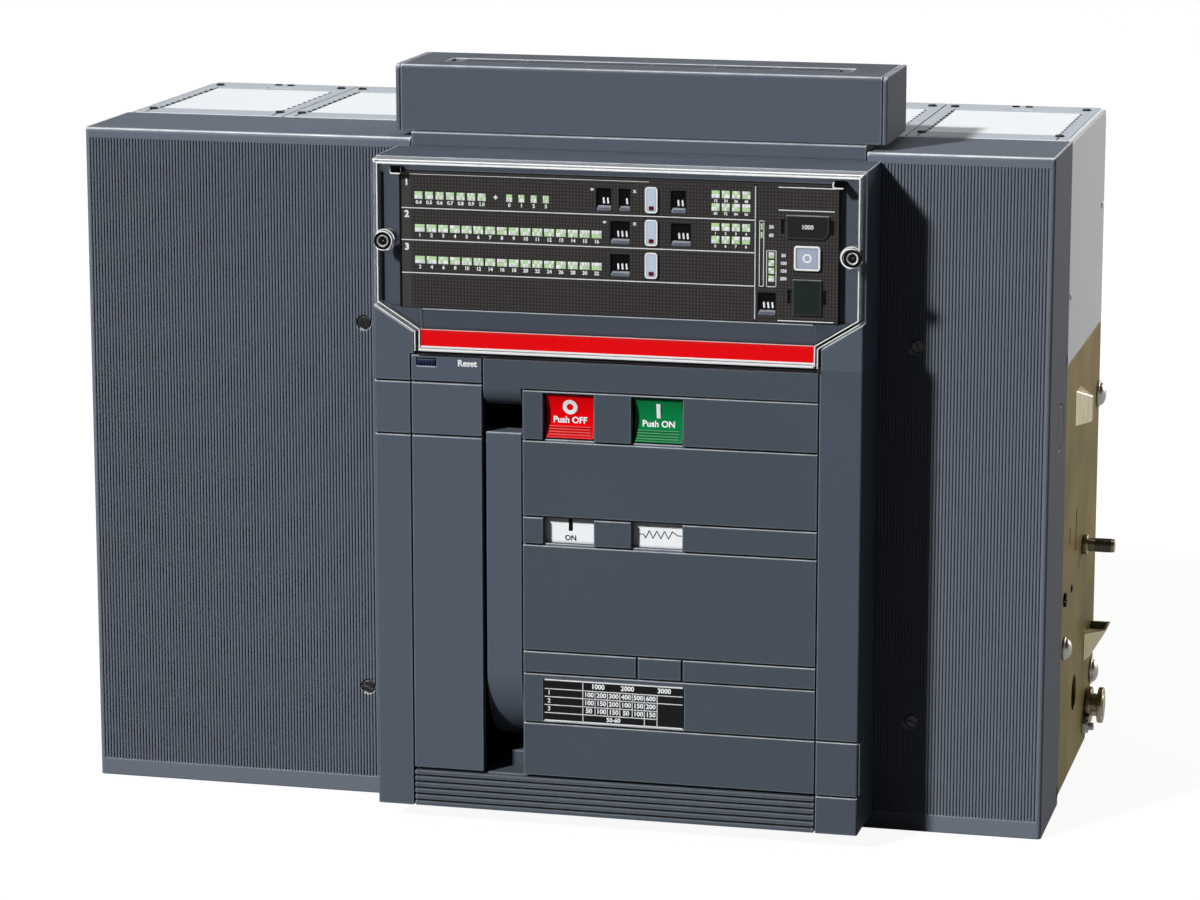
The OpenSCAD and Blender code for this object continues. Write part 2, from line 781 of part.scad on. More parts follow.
// Panel shell with two columns, the cover recess, the sloped ledge and the relay window
module panel_shell() {
    difference() {
        union() {
            difference() {
                block([shell_x0, shell_y, shell_z], [shell_x1, cover_y, shell_top]);
                block([shell_x0 + wall, shell_y + face_t, shell_z + wall],
                    [shell_x1 - wall, cover_y + eps, shell_top - wall]);
                block([panel_x0, shell_y - eps, shell_z - eps], [panel_x1, shell_y + face_t + eps, strip_z]);
                slab_y(shell_y - eps, shell_y + recess_d, clear_outline(-clear_edge));
            }
            slab_x(shell_x0 + tab_inset + ledge_gap, shell_x1 - tab_inset - ledge_gap,
                [[shell_y + ledge_d, strip_z + ledge_gap], [shell_y + ledge_d, slope_z],
                [shell_y + ledge_foot_d, slope_z], [shell_y + ledge_top_d, relay_z - relay_gap],
                [shell_y + face_t, relay_z - relay_gap], [shell_y + face_t, strip_z + ledge_gap]]);
        }
        block([relay_x0 - relay_gap, shell_y - eps, relay_z - relay_gap],
            [relay_x1 + relay_gap, shell_y + face_t + eps, relay_z + relay_h + relay_gap]);
        for (z = left_lines)
            block([shell_x0 - eps, shell_y - eps, z - line_w / 2],
                [panel_x0 + eps, shell_y + line_d, z + line_w / 2]);
        for (z = right_lines)
            block([panel_x1 - eps, shell_y - eps, z - line_w / 2],
                [shell_x1 + eps, shell_y + line_d, z + line_w / 2]);
        edge_z(shell_x0, shell_y, shell_z - eps, shell_top, shell_r, -1, -1);
        edge_z(shell_x1, shell_y, shell_z - eps, shell_top, shell_r, 1, -1);
    }
}

// Fascia to the left of the lever slot with the reset window
module lever_fascia() {
    color([0.3, 0.33, 0.38]) difference() {
        block([panel_x0 + seam, shell_y, grille_top + seam], [slot_x0, fascia_y1, strip_z - seam]);
        for (z = left_lines)
            block([panel_x0, shell_y - eps, z - line_w / 2],
                [slot_x0 + eps, shell_y + line_d, z + line_w / 2]);
        block([reset_x - reset_w / 2 - reset_gap, shell_y - eps, reset_z - reset_h / 2 - reset_gap],
            [reset_x + reset_w / 2 + reset_gap, fascia_y1 + eps, reset_z + reset_h / 2 + reset_gap]);
    }
}

// Head band of the panel with the rounded finger lip over the lever slot
module head_fascia() {
    color([0.29, 0.32, 0.36]) union() {
        block([slot_x0 + seam, shell_y, head_z], [panel_x1 - seam, fascia_y1, strip_z - seam]);
        intersection() {
            bar_x(slot_x0 + seam, slot_x1 - seam, shell_y + lip_r, head_z, lip_r);
            block([slot_x0, shell_y, lip_z], [slot_x1, shell_y + lip_r, head_z + fascia_t]);
        }
    }
}

// Control fascia with bands and with the key and flag windows
module control_fascia() {
    color([0.28, 0.31, 0.35]) difference() {
        block([slot_x1, shell_y, grille_top + seam], [panel_x1 - seam, fascia_y1, head_z - seam]);
        for (z = row_lines)
            block([slot_x1 - eps, shell_y - eps, z - line_w / 2],
                [panel_x1, shell_y + line_d, z + line_w / 2]);
        for (x = [key_x1, key_x2]) {
            block([x - key_window / 2, shell_y - eps, key_z + line_w / 2],
                [x + key_window / 2, fascia_y1 + eps, key_top]);
            block([x - key_window / 2, shell_y - eps, flag_z + line_w / 2],
                [x + key_window / 2, fascia_y1 + eps, mid_z - line_w / 2]);
        }
        block([plate_place_x, shell_y - eps, plate_band_z + line_w],
            [plate_place_x + plate_place_w, shell_y + plate_place_d, plate_band_z + line_w + plate_place_h]);
        for (x = [key_x2 + key_window / 2 - blank_w, key_x2 + key_window / 2])
            block([x - line_w / 2, shell_y - eps, narrow_z], [x + line_w / 2, shell_y + line_d, main_z]);
    }
}

// Outline of one louvre from its foot up, in Y and Z: upright face, bevelled lip and gap
function louvre(z0, z1) = [[shell_y, z0], [shell_y, z1 - louvre_gap - louvre_lip],
    [shell_y + louvre_lip, z1 - louvre_gap], [shell_y + louvre_d, z1 - louvre_gap], [shell_y + louvre_d, z1]];

// Louvred grille at the foot of the panel with the floor and stop block of the lever slot
module vent_grille() {
    pitch = grille_h / grille_n;
    color([0.29, 0.32, 0.36]) union() {
        slab_x(panel_x0 + seam, panel_x1 - seam, concat(
            [for (k = [0 : grille_n - 1], p = louvre(shell_z + k * pitch, shell_z + (k + 1) * pitch)) p],
            [[fascia_y1, grille_top], [fascia_y1, shell_z]]));
        block([slot_x0, fascia_y1 - eps, grille_top - floor_t], [slot_x1, case_y0, grille_top]);
        block([slot_x1 - stop_w, stop_y0, grille_top - eps], [slot_x1, stop_y1, grille_top + stop_h]);
    }
}

// Body of the protection relay with switch pockets, clip slots and raised lamp windows
module relay_body() {
    color([0.2, 0.19, 0.19]) difference() {
        union() {
            block([relay_x0, relay_y, relay_z], [relay_x1, shell_y + relay_d, relay_z + relay_h]);
            for (k = [0 : lamp_rows - 1])
                round_plate(lamp_x, row_z - k * row_pitch, lamp_w, lamp_h, relay_y - lamp_proud,
                    relay_y + eps, lamp_r);
        }
        block([divider_x, relay_y - eps, relay_z - eps],
            [divider_x + divider_w, relay_y + divider_w, relay_z + relay_h + eps]);
        for (p = switches)
            block([relay_x1 - p[0], relay_y - eps, row_z - p[1] * row_pitch],
                [relay_x1 - p[0] + p[2], relay_y + switch_d, row_z - p[1] * row_pitch + switch_h]);
        clip_slots(plug_w, plug_z + plug_h / 2);
        clip_slots(cap_w, cap_z + cap_h / 2);
    }
}

// Two clip slots beside a raised part of the given width on the relay face
module clip_slots(w, z) {
    for (s = [-1, 1])
        translate([plug_x + s * (w + clip_w) / 2, relay_y, z])
            cube([clip_w, 2 * clip_d, clip_h], center = true);
}

// Clear cover of the relay with bosses for its captive screws and two latch holes
module relay_cover() {
    color([0.8, 0.85, 0.88, 0.3]) difference() {
        union() {
            difference() {
                slab_y(clear_y0, shell_y + recess_d, clear_outline(clear_edge));
                slab_y(clear_y0 + clear_t, shell_y + recess_d + eps, clear_outline(clear_edge + clear_t));
            }
            for (x = [shell_x0 + captive_x, shell_x1 - captive_x])
                bar_y(x, clear_y0 - boss_out, shell_y + recess_d, captive_z, boss_r);
        }
        for (x = [shell_x0 + captive_x, shell_x1 - captive_x])
            bar_y(x, clear_y0 - boss_out - eps, shell_y + recess_d + eps, captive_z, captive_r);
        for (x = [shell_x0 + hook_x, shell_x1 - hook_x - hook_w])
            block([x, clear_y0 - eps, hook_z], [x + hook_w, clear_y0 + clear_t + eps, hook_z + hook_h]);
        edge_x(shell_x0 - eps, shell_x1 + eps, clear_y0, shell_top - clear_edge, clear_r, -1, 1);
        for (s = [-1, 1])
            edge_z(mech_x + s * (shell_w / 2 - clear_edge), clear_y0, slope_z, shell_top, clear_r, s, -1);
    }
}

// Red strip on the ledge behind the lower part of the clear cover
module red_strip() {
    color([0.85, 0.03, 0.06])
        block([shell_x0 + tab_inset + ledge_gap, shell_y + ledge_d - strip_t, strip_z + ledge_gap],
            [shell_x1 - tab_inset - ledge_gap, shell_y + ledge_d, slope_z]);
}

// Plug that sets the rated current, with one cut corner
module rating_plug() {
    x0 = plug_x - plug_w / 2;
    x1 = plug_x + plug_w / 2;
    color([0.1, 0.1, 0.1]) slab_y(relay_y - part_proud, relay_y, [[x0, plug_z], [x1 - plug_corner, plug_z],
        [x1, plug_z + plug_corner], [x1, plug_z + plug_h], [x0, plug_z + plug_h]]);
}

// Test key of the relay with round corners
module test_key() {
    color([0.65, 0.7, 0.8])
        round_plate(plug_x, test_z, test_w, test_h, relay_y - part_proud, relay_y, key_corner);
}

// Cap over the test connector of the relay
module connector_cap() {
    color([0.1, 0.2, 0.16])
        block([plug_x - cap_w / 2, relay_y - part_proud, cap_z],
            [plug_x + cap_w / 2, relay_y, cap_z + cap_h]);
}

// White flag plate behind a flag window
module flag(x) {
    color([0.93, 0.93, 0.92])
        block([x - key_window / 2 - flag_margin, fascia_y1, flag_z],
            [x + key_window / 2 + flag_margin, fascia_y1 + flag_t, mid_z]);
}

// Dished key in its window
module key(x) {
    y0 = shell_y + key_back;
    difference() {
        block([x - key_w / 2, y0, key_mid - key_h / 2], [x + key_w / 2, y0 + key_d, key_mid + key_h / 2]);
        bar_x(x - key_w, x + key_w, y0 + key_dish - dish_r, key_mid, dish_r);
    }
}

// Key that opens the breaker
module off_button() {
    color([0.85, 0.05, 0.08]) key(key_x1);
}

// Key that closes the breaker
module on_button() {
    color([0.05, 0.45, 0.25]) key(key_x2);
}

// Small reset key
module reset_button() {
    color([0.1, 0.16, 0.4])
        block([reset_x - reset_w / 2, shell_y - reset_proud, reset_z - reset_h / 2],
            [reset_x + reset_w / 2, shell_y - reset_proud + reset_d, reset_z + reset_h / 2]);
}

// Charging lever with handle, curved heel, web and hub
module charging_lever() {
    x0 = lever_x - lever_w / 2;
    x1 = lever_x + lever_w / 2;
    far = 2 * lever_r;
    heel = [[pivot_y, pivot_z], [pivot_y - far, pivot_z], [pivot_y - far, pivot_z - far * sin(heel_angle)],
        [pivot_y - far * cos(heel_angle), pivot_z - far * sin(heel_angle)]];
    color([0.3, 0.33, 0.38]) difference() {
        union() {
            difference() {
                block([x0, lever_y, pivot_z], [x1, lever_y + lever_t, handle_top]);
                edge_x(x0 - eps, x1 + eps, lever_y, handle_top, lever_round, -1, 1);
            }
            intersection() {
                difference() {
                    bar_x(x0, x1, pivot_y, pivot_z, lever_r);
                    bar_x(x0 - eps, x1 + eps, pivot_y, pivot_z, lever_r - lever_t);
                }
                slab_x(x0, x1, heel);
            }
            intersection() {
                bar_x(lever_x - web_t / 2, lever_x + web_t / 2, pivot_y, pivot_z, lever_r - lever_t / 2);
                slab_x(x0, x1, heel);
            }
            bar_x(x0, x1, pivot_y, pivot_z, hub_r);
        }
        bar_x(x0 - eps, x1 + eps, pivot_y, pivot_z, pivot_r + pivot_gap);
    }
}

// Pivot pin of the charging lever
module lever_pin() {
    color([0.6, 0.6, 0.6]) bar_x(slot_x0 - block_gap, slot_x1 + block_gap, pivot_y, pivot_z, pivot_r);
}

pole_case();
mirror([1, 0, 0]) side_plate();  // left_side_plate
side_plate();  // right_side_plate
mirror([1, 0, 0]) lifting_lug();  // left_lifting_lug
lifting_lug();  // right_lifting_lug
mirror([1, 0, 0]) lock_pin();  // left_lock_pin
lock_pin();  // right_lock_pin
mirror([1, 0, 0]) guide_roller();  // left_guide_roller
guide_roller();  // right_guide_roller
mirror([1, 0, 0]) foot_rail();  // left_foot_rail
foot_rail();  // right_foot_rail
mirror([1, 0, 0]) chute_panel();  // left_chute_panel
chute_panel();  // right_chute_panel
arc_chute(0);  // arc_chute_1
arc_chute(1);  // arc_chute_2
arc_chute(2);  // arc_chute_3
arc_chute(3);  // arc_chute_4
arc_chute(4);  // arc_chute_5
arc_chute(5);  // arc_chute_6
chute_filters();
terminal(0, term_high_z);  // upper_terminal_1
terminal(1, term_high_z);  // upper_terminal_2
terminal(2, term_high_z);  // upper_terminal_3
terminal(0, term_low_z);  // lower_terminal_1
terminal(1, term_low_z);  // lower_terminal_2
terminal(2, term_low_z);  // lower_terminal_3
side_cover(-1);  // left_side_cover
side_cover(1);  // right_side_cover
left_mechanism_block();
right_mechanism_block();
upper_frame();
terminal_box();
box_end(-1);  // left_box_end
box_end(1);  // right_box_end
front_shell();
lever_fascia();
head_fascia();
control_fascia();
vent_grille();
relay_body();
relay_cover();
red_strip();
rating_plug();
test_key();
connector_cap();
flag(key_x1);  // contact_flag
flag(key_x2);  // spring_flag
off_button();
on_button();
reset_button();
charging_lever();
lever_pin();
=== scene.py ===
"""Finishes, print, small fittings and studio of a low-voltage air circuit breaker."""

import math

import bmesh
import bpy
from bpy.props import FloatProperty, FloatVectorProperty, PointerProperty
from mathutils import Matrix, Vector


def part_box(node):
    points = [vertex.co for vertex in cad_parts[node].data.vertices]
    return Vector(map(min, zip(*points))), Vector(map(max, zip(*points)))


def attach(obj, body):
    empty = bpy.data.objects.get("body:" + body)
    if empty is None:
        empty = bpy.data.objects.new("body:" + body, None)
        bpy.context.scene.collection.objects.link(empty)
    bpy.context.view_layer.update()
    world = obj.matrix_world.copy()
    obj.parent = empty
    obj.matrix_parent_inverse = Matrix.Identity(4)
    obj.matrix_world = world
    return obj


bl_info = {
    "name": "Air Circuit Breaker Finish",
    "version": (1, 0, 0),
    "blender": (4, 5, 0),
    "location": "3D View > Sidebar > Breaker",
    "description": "Gives the breaker its finishes, print, screws and studio",
    "category": "Object",
}

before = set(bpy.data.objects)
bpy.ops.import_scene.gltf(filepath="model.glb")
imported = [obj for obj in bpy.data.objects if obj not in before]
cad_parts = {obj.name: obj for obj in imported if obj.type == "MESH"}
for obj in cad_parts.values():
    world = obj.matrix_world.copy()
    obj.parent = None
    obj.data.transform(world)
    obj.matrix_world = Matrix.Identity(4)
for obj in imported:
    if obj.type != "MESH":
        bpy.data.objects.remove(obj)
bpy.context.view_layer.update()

# Shared places in the frame, in metres
MM = 0.001
ROOT = "breaker"
SHELL_LO, SHELL_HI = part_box("front_shell")
COVER_LO, COVER_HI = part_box("left_side_cover")
PLATE_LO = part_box("right_side_plate")[0]
STRIP_LO, STRIP_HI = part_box("red_strip")
FASCIA_LO, FASCIA_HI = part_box("control_fascia")
CLEAR_LO, CLEAR_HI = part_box("relay_cover")
RELAY_LO, RELAY_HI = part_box("relay_body")
RELAY_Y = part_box("connector_cap")[1].y
RECESS_Y = SHELL_LO.y + 8 * MM
PLATE_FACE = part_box("right_chute_panel")[1].x + 0.0004
REAR_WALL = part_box("upper_terminal_1")[0].y + 6 * MM
CHUTES = [f"arc_chute_{k}" for k in range(1, 7)]

# Print is a thin raised layer
PRINT_T = 0.12 * MM
FRONT = Matrix.Rotation(math.radians(90), 4, "X")


def srgb(red, green, blue):
    """Linear colour of a display colour given in 0 to 255."""
    shares = [v / 255 for v in (red, green, blue)]
    return (*(s / 12.92 if s < 0.0405 else ((s + 0.055) / 1.055) ** 2.4 for s in shares), 1.0)


def colour(label, words, default):
    """Colour property with its label, description and default."""
    return FloatVectorProperty(name=label, description=words, subtype="COLOR", size=4, min=0, max=1,
                               default=default)


def length(label, words, default):
    """Length property with its label, description and default in metres."""
    return FloatProperty(name=label, description=words, subtype="DISTANCE", unit="LENGTH", min=0,
                         default=default)


class BreakerColours(bpy.types.PropertyGroup):
    """Colours of the breaker's finishes."""

    cover: colour("Side cover", "Ribbed side covers", srgb(104, 111, 123))
    panel: colour("Front panel", "Columns of the front panel and lever", srgb(82, 90, 102))
    fascia: colour("Fascia", "Fascia plates and grille", srgb(72, 80, 90))
    box: colour("Terminal box", "Box on top of the breaker", srgb(84, 91, 102))
    chute: colour("Arc chute", "Frames of the arc chutes", srgb(186, 194, 202))
    filter: colour("Chute filter", "White filter plates", srgb(240, 244, 248))
    side_panel: colour("Chute side panel", "Light side panels", srgb(230, 238, 246))
    zinc: colour("Passivated zinc", "Side plates and feet", srgb(136, 123, 78))
    # Painted light: a lighter copy of the zinc for the tabs, lugs and ramps.
    tab: colour("Bright tabs", "Bent tabs and lifting lugs", srgb(232, 224, 196))
    steel: colour("Bright steel", "Pins, rollers and bolts", srgb(172, 166, 148))
    silver: colour("Silvered copper", "Rear terminals", srgb(206, 202, 194))
    resin: colour("Case resin", "Moulded pole case", srgb(46, 40, 37))
    black: colour("Matt black", "Mechanism and screws", srgb(14, 14, 15))
    relay: colour("Relay face", "Front of the protection relay", srgb(63, 60, 58))
    clear: colour("Clear cover", "Transparent cover of the relay", srgb(226, 234, 240))
    red: colour("Signal red", "Opening key and strip", srgb(228, 4, 12))
    green: colour("Signal green", "Closing key", srgb(10, 124, 66))
    blue: colour("Reset blue", "Reset key", srgb(14, 27, 64))
    test: colour("Test key", "Test key of the relay", srgb(186, 199, 220))
    cap: colour("Connector cap", "Cap over the test connector", srgb(35, 45, 40))
    white: colour("Print white", "Print, flags and rockers", srgb(238, 240, 242))
    scale: colour("Scale green", "Setting windows of the relay", srgb(184, 220, 164))
    lens: colour("Lamp lens", "Lamp windows of the relay", srgb(196, 210, 228))


class BreakerSizes(bpy.types.PropertyGroup):
    """Sizes of edges and small fittings."""

    edge: length("Edge rounding", "Rounding of moulded edges", 0.45 * MM)
    fine_edge: length("Fine edge rounding", "Rounding of ribs and small parts", 0.14 * MM)
    metal_edge: length("Sheet edge rounding", "Rounding of sheet metal edges", 0.3 * MM)
    cover_screw: length("Cover screw radius", "Screws of the side covers", 3.7 * MM)
    captive_screw: length("Captive screw radius", "Screws of the clear cover", 3.1 * MM)
    chute_screw: length("Chute screw radius", "Screws at the chute corners", 2.6 * MM)
    dome: length("Dome bolt radius", "Round bolts on the side plates", 7.0 * MM)


class BreakerStudio(bpy.types.PropertyGroup):
    """Camera and light of the studio."""

    lens: FloatProperty(name="Lens", description="Focal length in millimetres", min=1, default=123.3)
    place: FloatVectorProperty(name="Camera place", description="Where the camera stands", unit="LENGTH",
                               subtype="TRANSLATION", default=(0.5725, -2.3875, 0.6945))
    yaw: FloatProperty(name="Camera yaw", description="Turn to the left", subtype="ANGLE",
                       default=math.radians(13.748))
    pitch: FloatProperty(name="Camera pitch", description="Look down", subtype="ANGLE",
                         default=math.radians(11.799))
    key: FloatProperty(name="Key strength", description="Main light from the upper left", min=0, default=4.0)
    top: FloatProperty(name="Top strength", description="Soft box above", min=0, default=11)
    side: FloatProperty(name="Side strength", description="Soft box at the right", min=0, default=45)
    fill: FloatProperty(name="Fill strength", description="Light from all around", min=0, default=0.04)


# Mesh helpers

def link_piece(name, bm, material, body=ROOT):
    """Turn a bmesh into a piece that rides on a body."""
    bmesh.ops.recalc_face_normals(bm, faces=bm.faces)
    mesh = bpy.data.meshes.new(name)
    bm.to_mesh(mesh)
    bm.free()
    piece = bpy.data.objects.new(name, mesh)
    bpy.context.scene.collection.objects.link(piece)
    mesh.materials.append(material)
    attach(piece, body)
    return piece


def round_edges(piece, width, segments=2, angle=30):
    """Round the sharp edges of a piece or CAD node with modifiers."""
    weld = piece.modifiers.new("Weld", "WELD")
    weld.merge_threshold = 0.002 * MM
    flat = piece.modifiers.new("Flat faces", "DECIMATE")
    flat.decimate_type = "DISSOLVE"
    flat.angle_limit = math.radians(0.5)
    edges = piece.modifiers.new("Rounded edges", "BEVEL")
    edges.width = width
    edges.segments = segments
    edges.limit_method = "ANGLE"
    edges.angle_limit = math.radians(angle)
    edges.use_clamp_overlap = True
    shade = piece.modifiers.new("Shading", "WEIGHTED_NORMAL")
    shade.weight = 80
    shade.keep_sharp = False
    for face in piece.data.polygons:
        face.use_smooth = True


def finish_nodes(names, material, width=0.0, segments=2, angle=30):
    """Give CAD nodes a material and, where a width is given, rounded edges."""
    for name in names:
        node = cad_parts[name]
        node.data.materials.clear()
        node.data.materials.append(material)
        if width:
            round_edges(node, width, segments, angle)


def add_box(bm, lo, hi):
    """Box between two corners."""
    lo = Vector(lo)
    hi = Vector(hi)
    bmesh.ops.create_cube(bm, size=1.0, matrix=Matrix.LocRotScale((lo + hi) / 2, None, hi - lo))


def add_extrusion(bm, outline, low, high, place, top=1.0):
    """Outline in local X and Y drawn up along local Z, its upper end scaled by top."""
    lower = [bm.verts.new(place @ Vector((x, y, low))) for x, y in outline]
    upper = [bm.verts.new(place @ Vector((x * top, y * top, high))) for x, y in outline]
    bm.faces.new(lower[::-1])
    bm.faces.new(upper)
    count = len(outline)
    for k in range(count):
        bm.faces.new((lower[k], lower[(k + 1) % count], upper[(k + 1) % count], upper[k]))


def add_lathe(bm, profile, place, steps=32):
    """Profile of radius and height turned around local Z."""
    rings = []
    for radius, height in profile:
        angles = [2 * math.pi * k / steps for k in range(steps if radius else 1)]
        rings.append([bm.verts.new(place @ Vector((radius * math.cos(a), radius * math.sin(a), height)))
                      for a in angles])
    for low, high in zip(rings, rings[1:]):
        for k in range(steps):
            corners = [low[k % len(low)], low[(k + 1) % len(low)],
                       high[(k + 1) % len(high)], high[k % len(high)]]
            bm.faces.new(list(dict.fromkeys(corners)))


def arc(radius, start, end, steps):
    """Points on an arc around the local origin, angles in radians."""
    turns = [start + (end - start) * k / steps for k in range(steps + 1)]
    return [(radius * math.cos(a), radius * math.sin(a)) for a in turns]


def add_slotted_head(bm, place, radius, height, slot_w, slot_d):
    """Screw head with a straight slot, standing on the local XY plane."""
    floor = height - slot_d
    add_lathe(bm, [(0, 0), (radius, 0), (radius, floor), (0, floor)], place)
    open_angle = math.acos(slot_w / 2 / radius)
    half = arc(radius, -open_angle, open_angle, 14)
    add_extrusion(bm, half, floor, height, place, 0.93)
    add_extrusion(bm, half, floor, height, place @ Matrix.Rotation(math.pi, 4, "Z"), 0.93)


def rounded(width, height, radius, steps=6):
    """Outline of a rectangle with round corners around the local origin."""
    points = []
    for k, (sx, sy) in enumerate(((1, 1), (-1, 1), (-1, -1), (1, -1))):
        for x, y in arc(radius, k * math.pi / 2, (k + 1) * math.pi / 2, steps):
            points.append((sx * (width / 2 - radius) + x, sy * (height / 2 - radius) + y))
    return points


def add_words(bm, words, size, place, depth=PRINT_T, bold=0.02):
    """Raised words in the built-in typeface, centred on the local origin."""
    curve = bpy.data.curves.new("words", "FONT")
    curve.body = words
    curve.size = size
    curve.align_x = "CENTER"
    curve.align_y = "CENTER"
    curve.extrude = depth / 2
    curve.offset = bold * size
    curve.resolution_u = 3
    holder = bpy.data.objects.new("words", curve)
    mesh = bpy.data.meshes.new_from_object(holder)
    mesh.transform(place @ Matrix.Translation((0, 0, depth / 2)))
    bm.from_mesh(mesh)
    bpy.data.objects.remove(holder)
    bpy.data.curves.remove(curve)
    bpy.data.meshes.remove(mesh)


def on_front(x, y, z):
    """Placement on a face that looks to the front."""
    return Matrix.Translation((x, y, z)) @ FRONT


# Shader helpers and shared effects

def add(tree, kind, **values):
    """New node with its settings."""
    node = tree.nodes.new(kind)
    for name, value in values.items():
        setattr(node, name, value)
    return node


def feed(tree, socket, value):
    """Link a socket, or set its plain value."""
    if isinstance(value, bpy.types.NodeSocket):
        tree.links.new(value, socket)
    else:
        socket.default_value = value


def calc(tree, operation, first, second=0.0, third=0.0, clamp=False):
    """Math node and its result."""
    node = add(tree, "ShaderNodeMath", operation=operation, use_clamp=clamp)
    for socket, value in zip(node.inputs, (first, second, third)):
        feed(tree, socket, value)
    return node.outputs[0]


def noise(tree, place, scale, detail=2.0):
    """Noise value at a place."""
    node = add(tree, "ShaderNodeTexNoise")
    feed(tree, node.inputs["Vector"], place)
    feed(tree, node.inputs["Scale"], scale)
    node.inputs["Detail"].default_value = detail
    return node.outputs["Fac"]


def blend(tree, factor, first, second):
    """Mix of two colours."""
    node = add(tree, "ShaderNodeMix", data_type="RGBA")
    feed(tree, node.inputs["Factor"], factor)
    feed(tree, node.inputs["A"], first)
    feed(tree, node.inputs["B"], second)
    return node.outputs["Result"]


def new_group(name, inputs, outputs):
    """Shader node group with named sockets."""
    tree = bpy.data.node_groups.new(name, "ShaderNodeTree")
    for label, kind in inputs:
        tree.interface.new_socket(name=label, in_out="INPUT", socket_type=kind)
    for label, kind in outputs:
        tree.interface.new_socket(name=label, in_out="OUTPUT", socket_type=kind)
    entry = add(tree, "NodeGroupInput")
    leave = add(tree, "NodeGroupOutput")
    return tree, entry.outputs, leave.inputs


NUMBER = "NodeSocketFloat"
COLOUR = "NodeSocketColor"
VECTOR = "NodeSocketVector"


def grain_effect():
    """Fine moulded grain with a slow drift of tone."""
    tree, given, result = new_group(
        "Moulded grain",
        [("Color", COLOUR), ("Grain Size", NUMBER), ("Tone Spread", NUMBER), ("Roughness", NUMBER),
         ("Roughness Spread", NUMBER)],
        [("Color", COLOUR), ("Roughness", NUMBER), ("Height", NUMBER)])
    place = add(tree, "ShaderNodeTexCoord").outputs["Object"]
    fine = noise(tree, place, calc(tree, "DIVIDE", 1.0, given["Grain Size"]))
    broad = noise(tree, place, 9.0, 3.0)
    speck = noise(tree, place, 420.0, 1.0)
    dots = calc(tree, "MULTIPLY_ADD", speck, 0.5, -0.25)
    drift = calc(tree, "ADD", calc(tree, "SUBTRACT", broad, 0.5), dots)
    tone = add(tree, "ShaderNodeHueSaturation")
    feed(tree, tone.inputs["Value"], calc(tree, "MULTIPLY_ADD", drift, given["Tone Spread"], 1.0))
    feed(tree, tone.inputs["Color"], given["Color"])
    feed(tree, result["Color"], tone.outputs["Color"])
    swing = calc(tree, "SUBTRACT", fine, 0.5)
    rough = calc(tree, "MULTIPLY_ADD", swing, given["Roughness Spread"], given["Roughness"])
    feed(tree, result["Roughness"], rough)
    feed(tree, result["Height"], fine)
    return tree


def wear_effect():
    """Softened edges, rubbed pale where they stand out, with painted highlight on edges and faces that look
    up, and painted shade in the corners.
    """
    tree, given, result = new_group(
        "Edge wear and painted light",
        [("Color", COLOUR), ("Wear Color", COLOUR), ("Amount", NUMBER), ("Width", NUMBER),
         ("Upper Share", NUMBER), ("Dirt", NUMBER)],
        [("Color", COLOUR), ("Mask", NUMBER), ("Normal", VECTOR)])
    soft = add(tree, "ShaderNodeBevel", samples=4)
    feed(tree, soft.inputs["Radius"], given["Width"])
    feed(tree, result["Normal"], soft.outputs["Normal"])
    inner = add(tree, "ShaderNodeAmbientOcclusion", samples=8, inside=True, only_local=True)
    feed(tree, inner.inputs["Distance"], given["Width"])
    edge = calc(tree, "MULTIPLY", calc(tree, "SUBTRACT", 1.0, inner.outputs["AO"]), 4.0, clamp=True)
    place = add(tree, "ShaderNodeTexCoord").outputs["Object"]
    patchy = calc(tree, "MULTIPLY_ADD", noise(tree, place, 90.0, 3.0), 1.0, 0.3, clamp=True)
    # Painted highlight: edges that face down keep less of the pale colour, and faces leaning about 40
    # degrees up get a pale band.
    lean = add(tree, "ShaderNodeSeparateXYZ")
    feed(tree, lean.inputs[0], soft.outputs["Normal"])
    lower = calc(tree, "MULTIPLY_ADD", lean.outputs["Z"], -1.6, 1.0, clamp=True)
    share = calc(tree, "SUBTRACT", 1.0, calc(tree, "MULTIPLY", lower, given["Upper Share"]))
    true = add(tree, "ShaderNodeSeparateXYZ")
    feed(tree, true.inputs[0], add(tree, "ShaderNodeNewGeometry").outputs["True Normal"])
    tilt = calc(tree, "ABSOLUTE", calc(tree, "SUBTRACT", true.outputs["Z"], 0.76))
    crest = calc(tree, "MULTIPLY_ADD", tilt, -6.0, 1.3, clamp=True)
    edge = calc(tree, "MAXIMUM", edge, calc(tree, "MULTIPLY", crest, given["Upper Share"]))
    worn_and_lit_edges = calc(tree, "MULTIPLY", calc(tree, "MULTIPLY", edge, patchy), share)
    mask = calc(tree, "MULTIPLY", worn_and_lit_edges, given["Amount"], clamp=True)
    # Painted shade: corners and grooves turn near black by their occlusion.
    corner = add(tree, "ShaderNodeAmbientOcclusion", samples=8)
    corner.inputs["Distance"].default_value = 2.5 * MM
    deep = calc(tree, "MULTIPLY_ADD", corner.outputs["AO"], -1.6, 1.35, clamp=True)
    corner_shade = calc(tree, "MULTIPLY", deep, given["Dirt"])
    corner_shaded = blend(tree, corner_shade, given["Color"], (0.004, 0.004, 0.004, 1))
    feed(tree, result["Color"], blend(tree, mask, corner_shaded, given["Wear Color"]))
    feed(tree, result["Mask"], mask)
    return tree


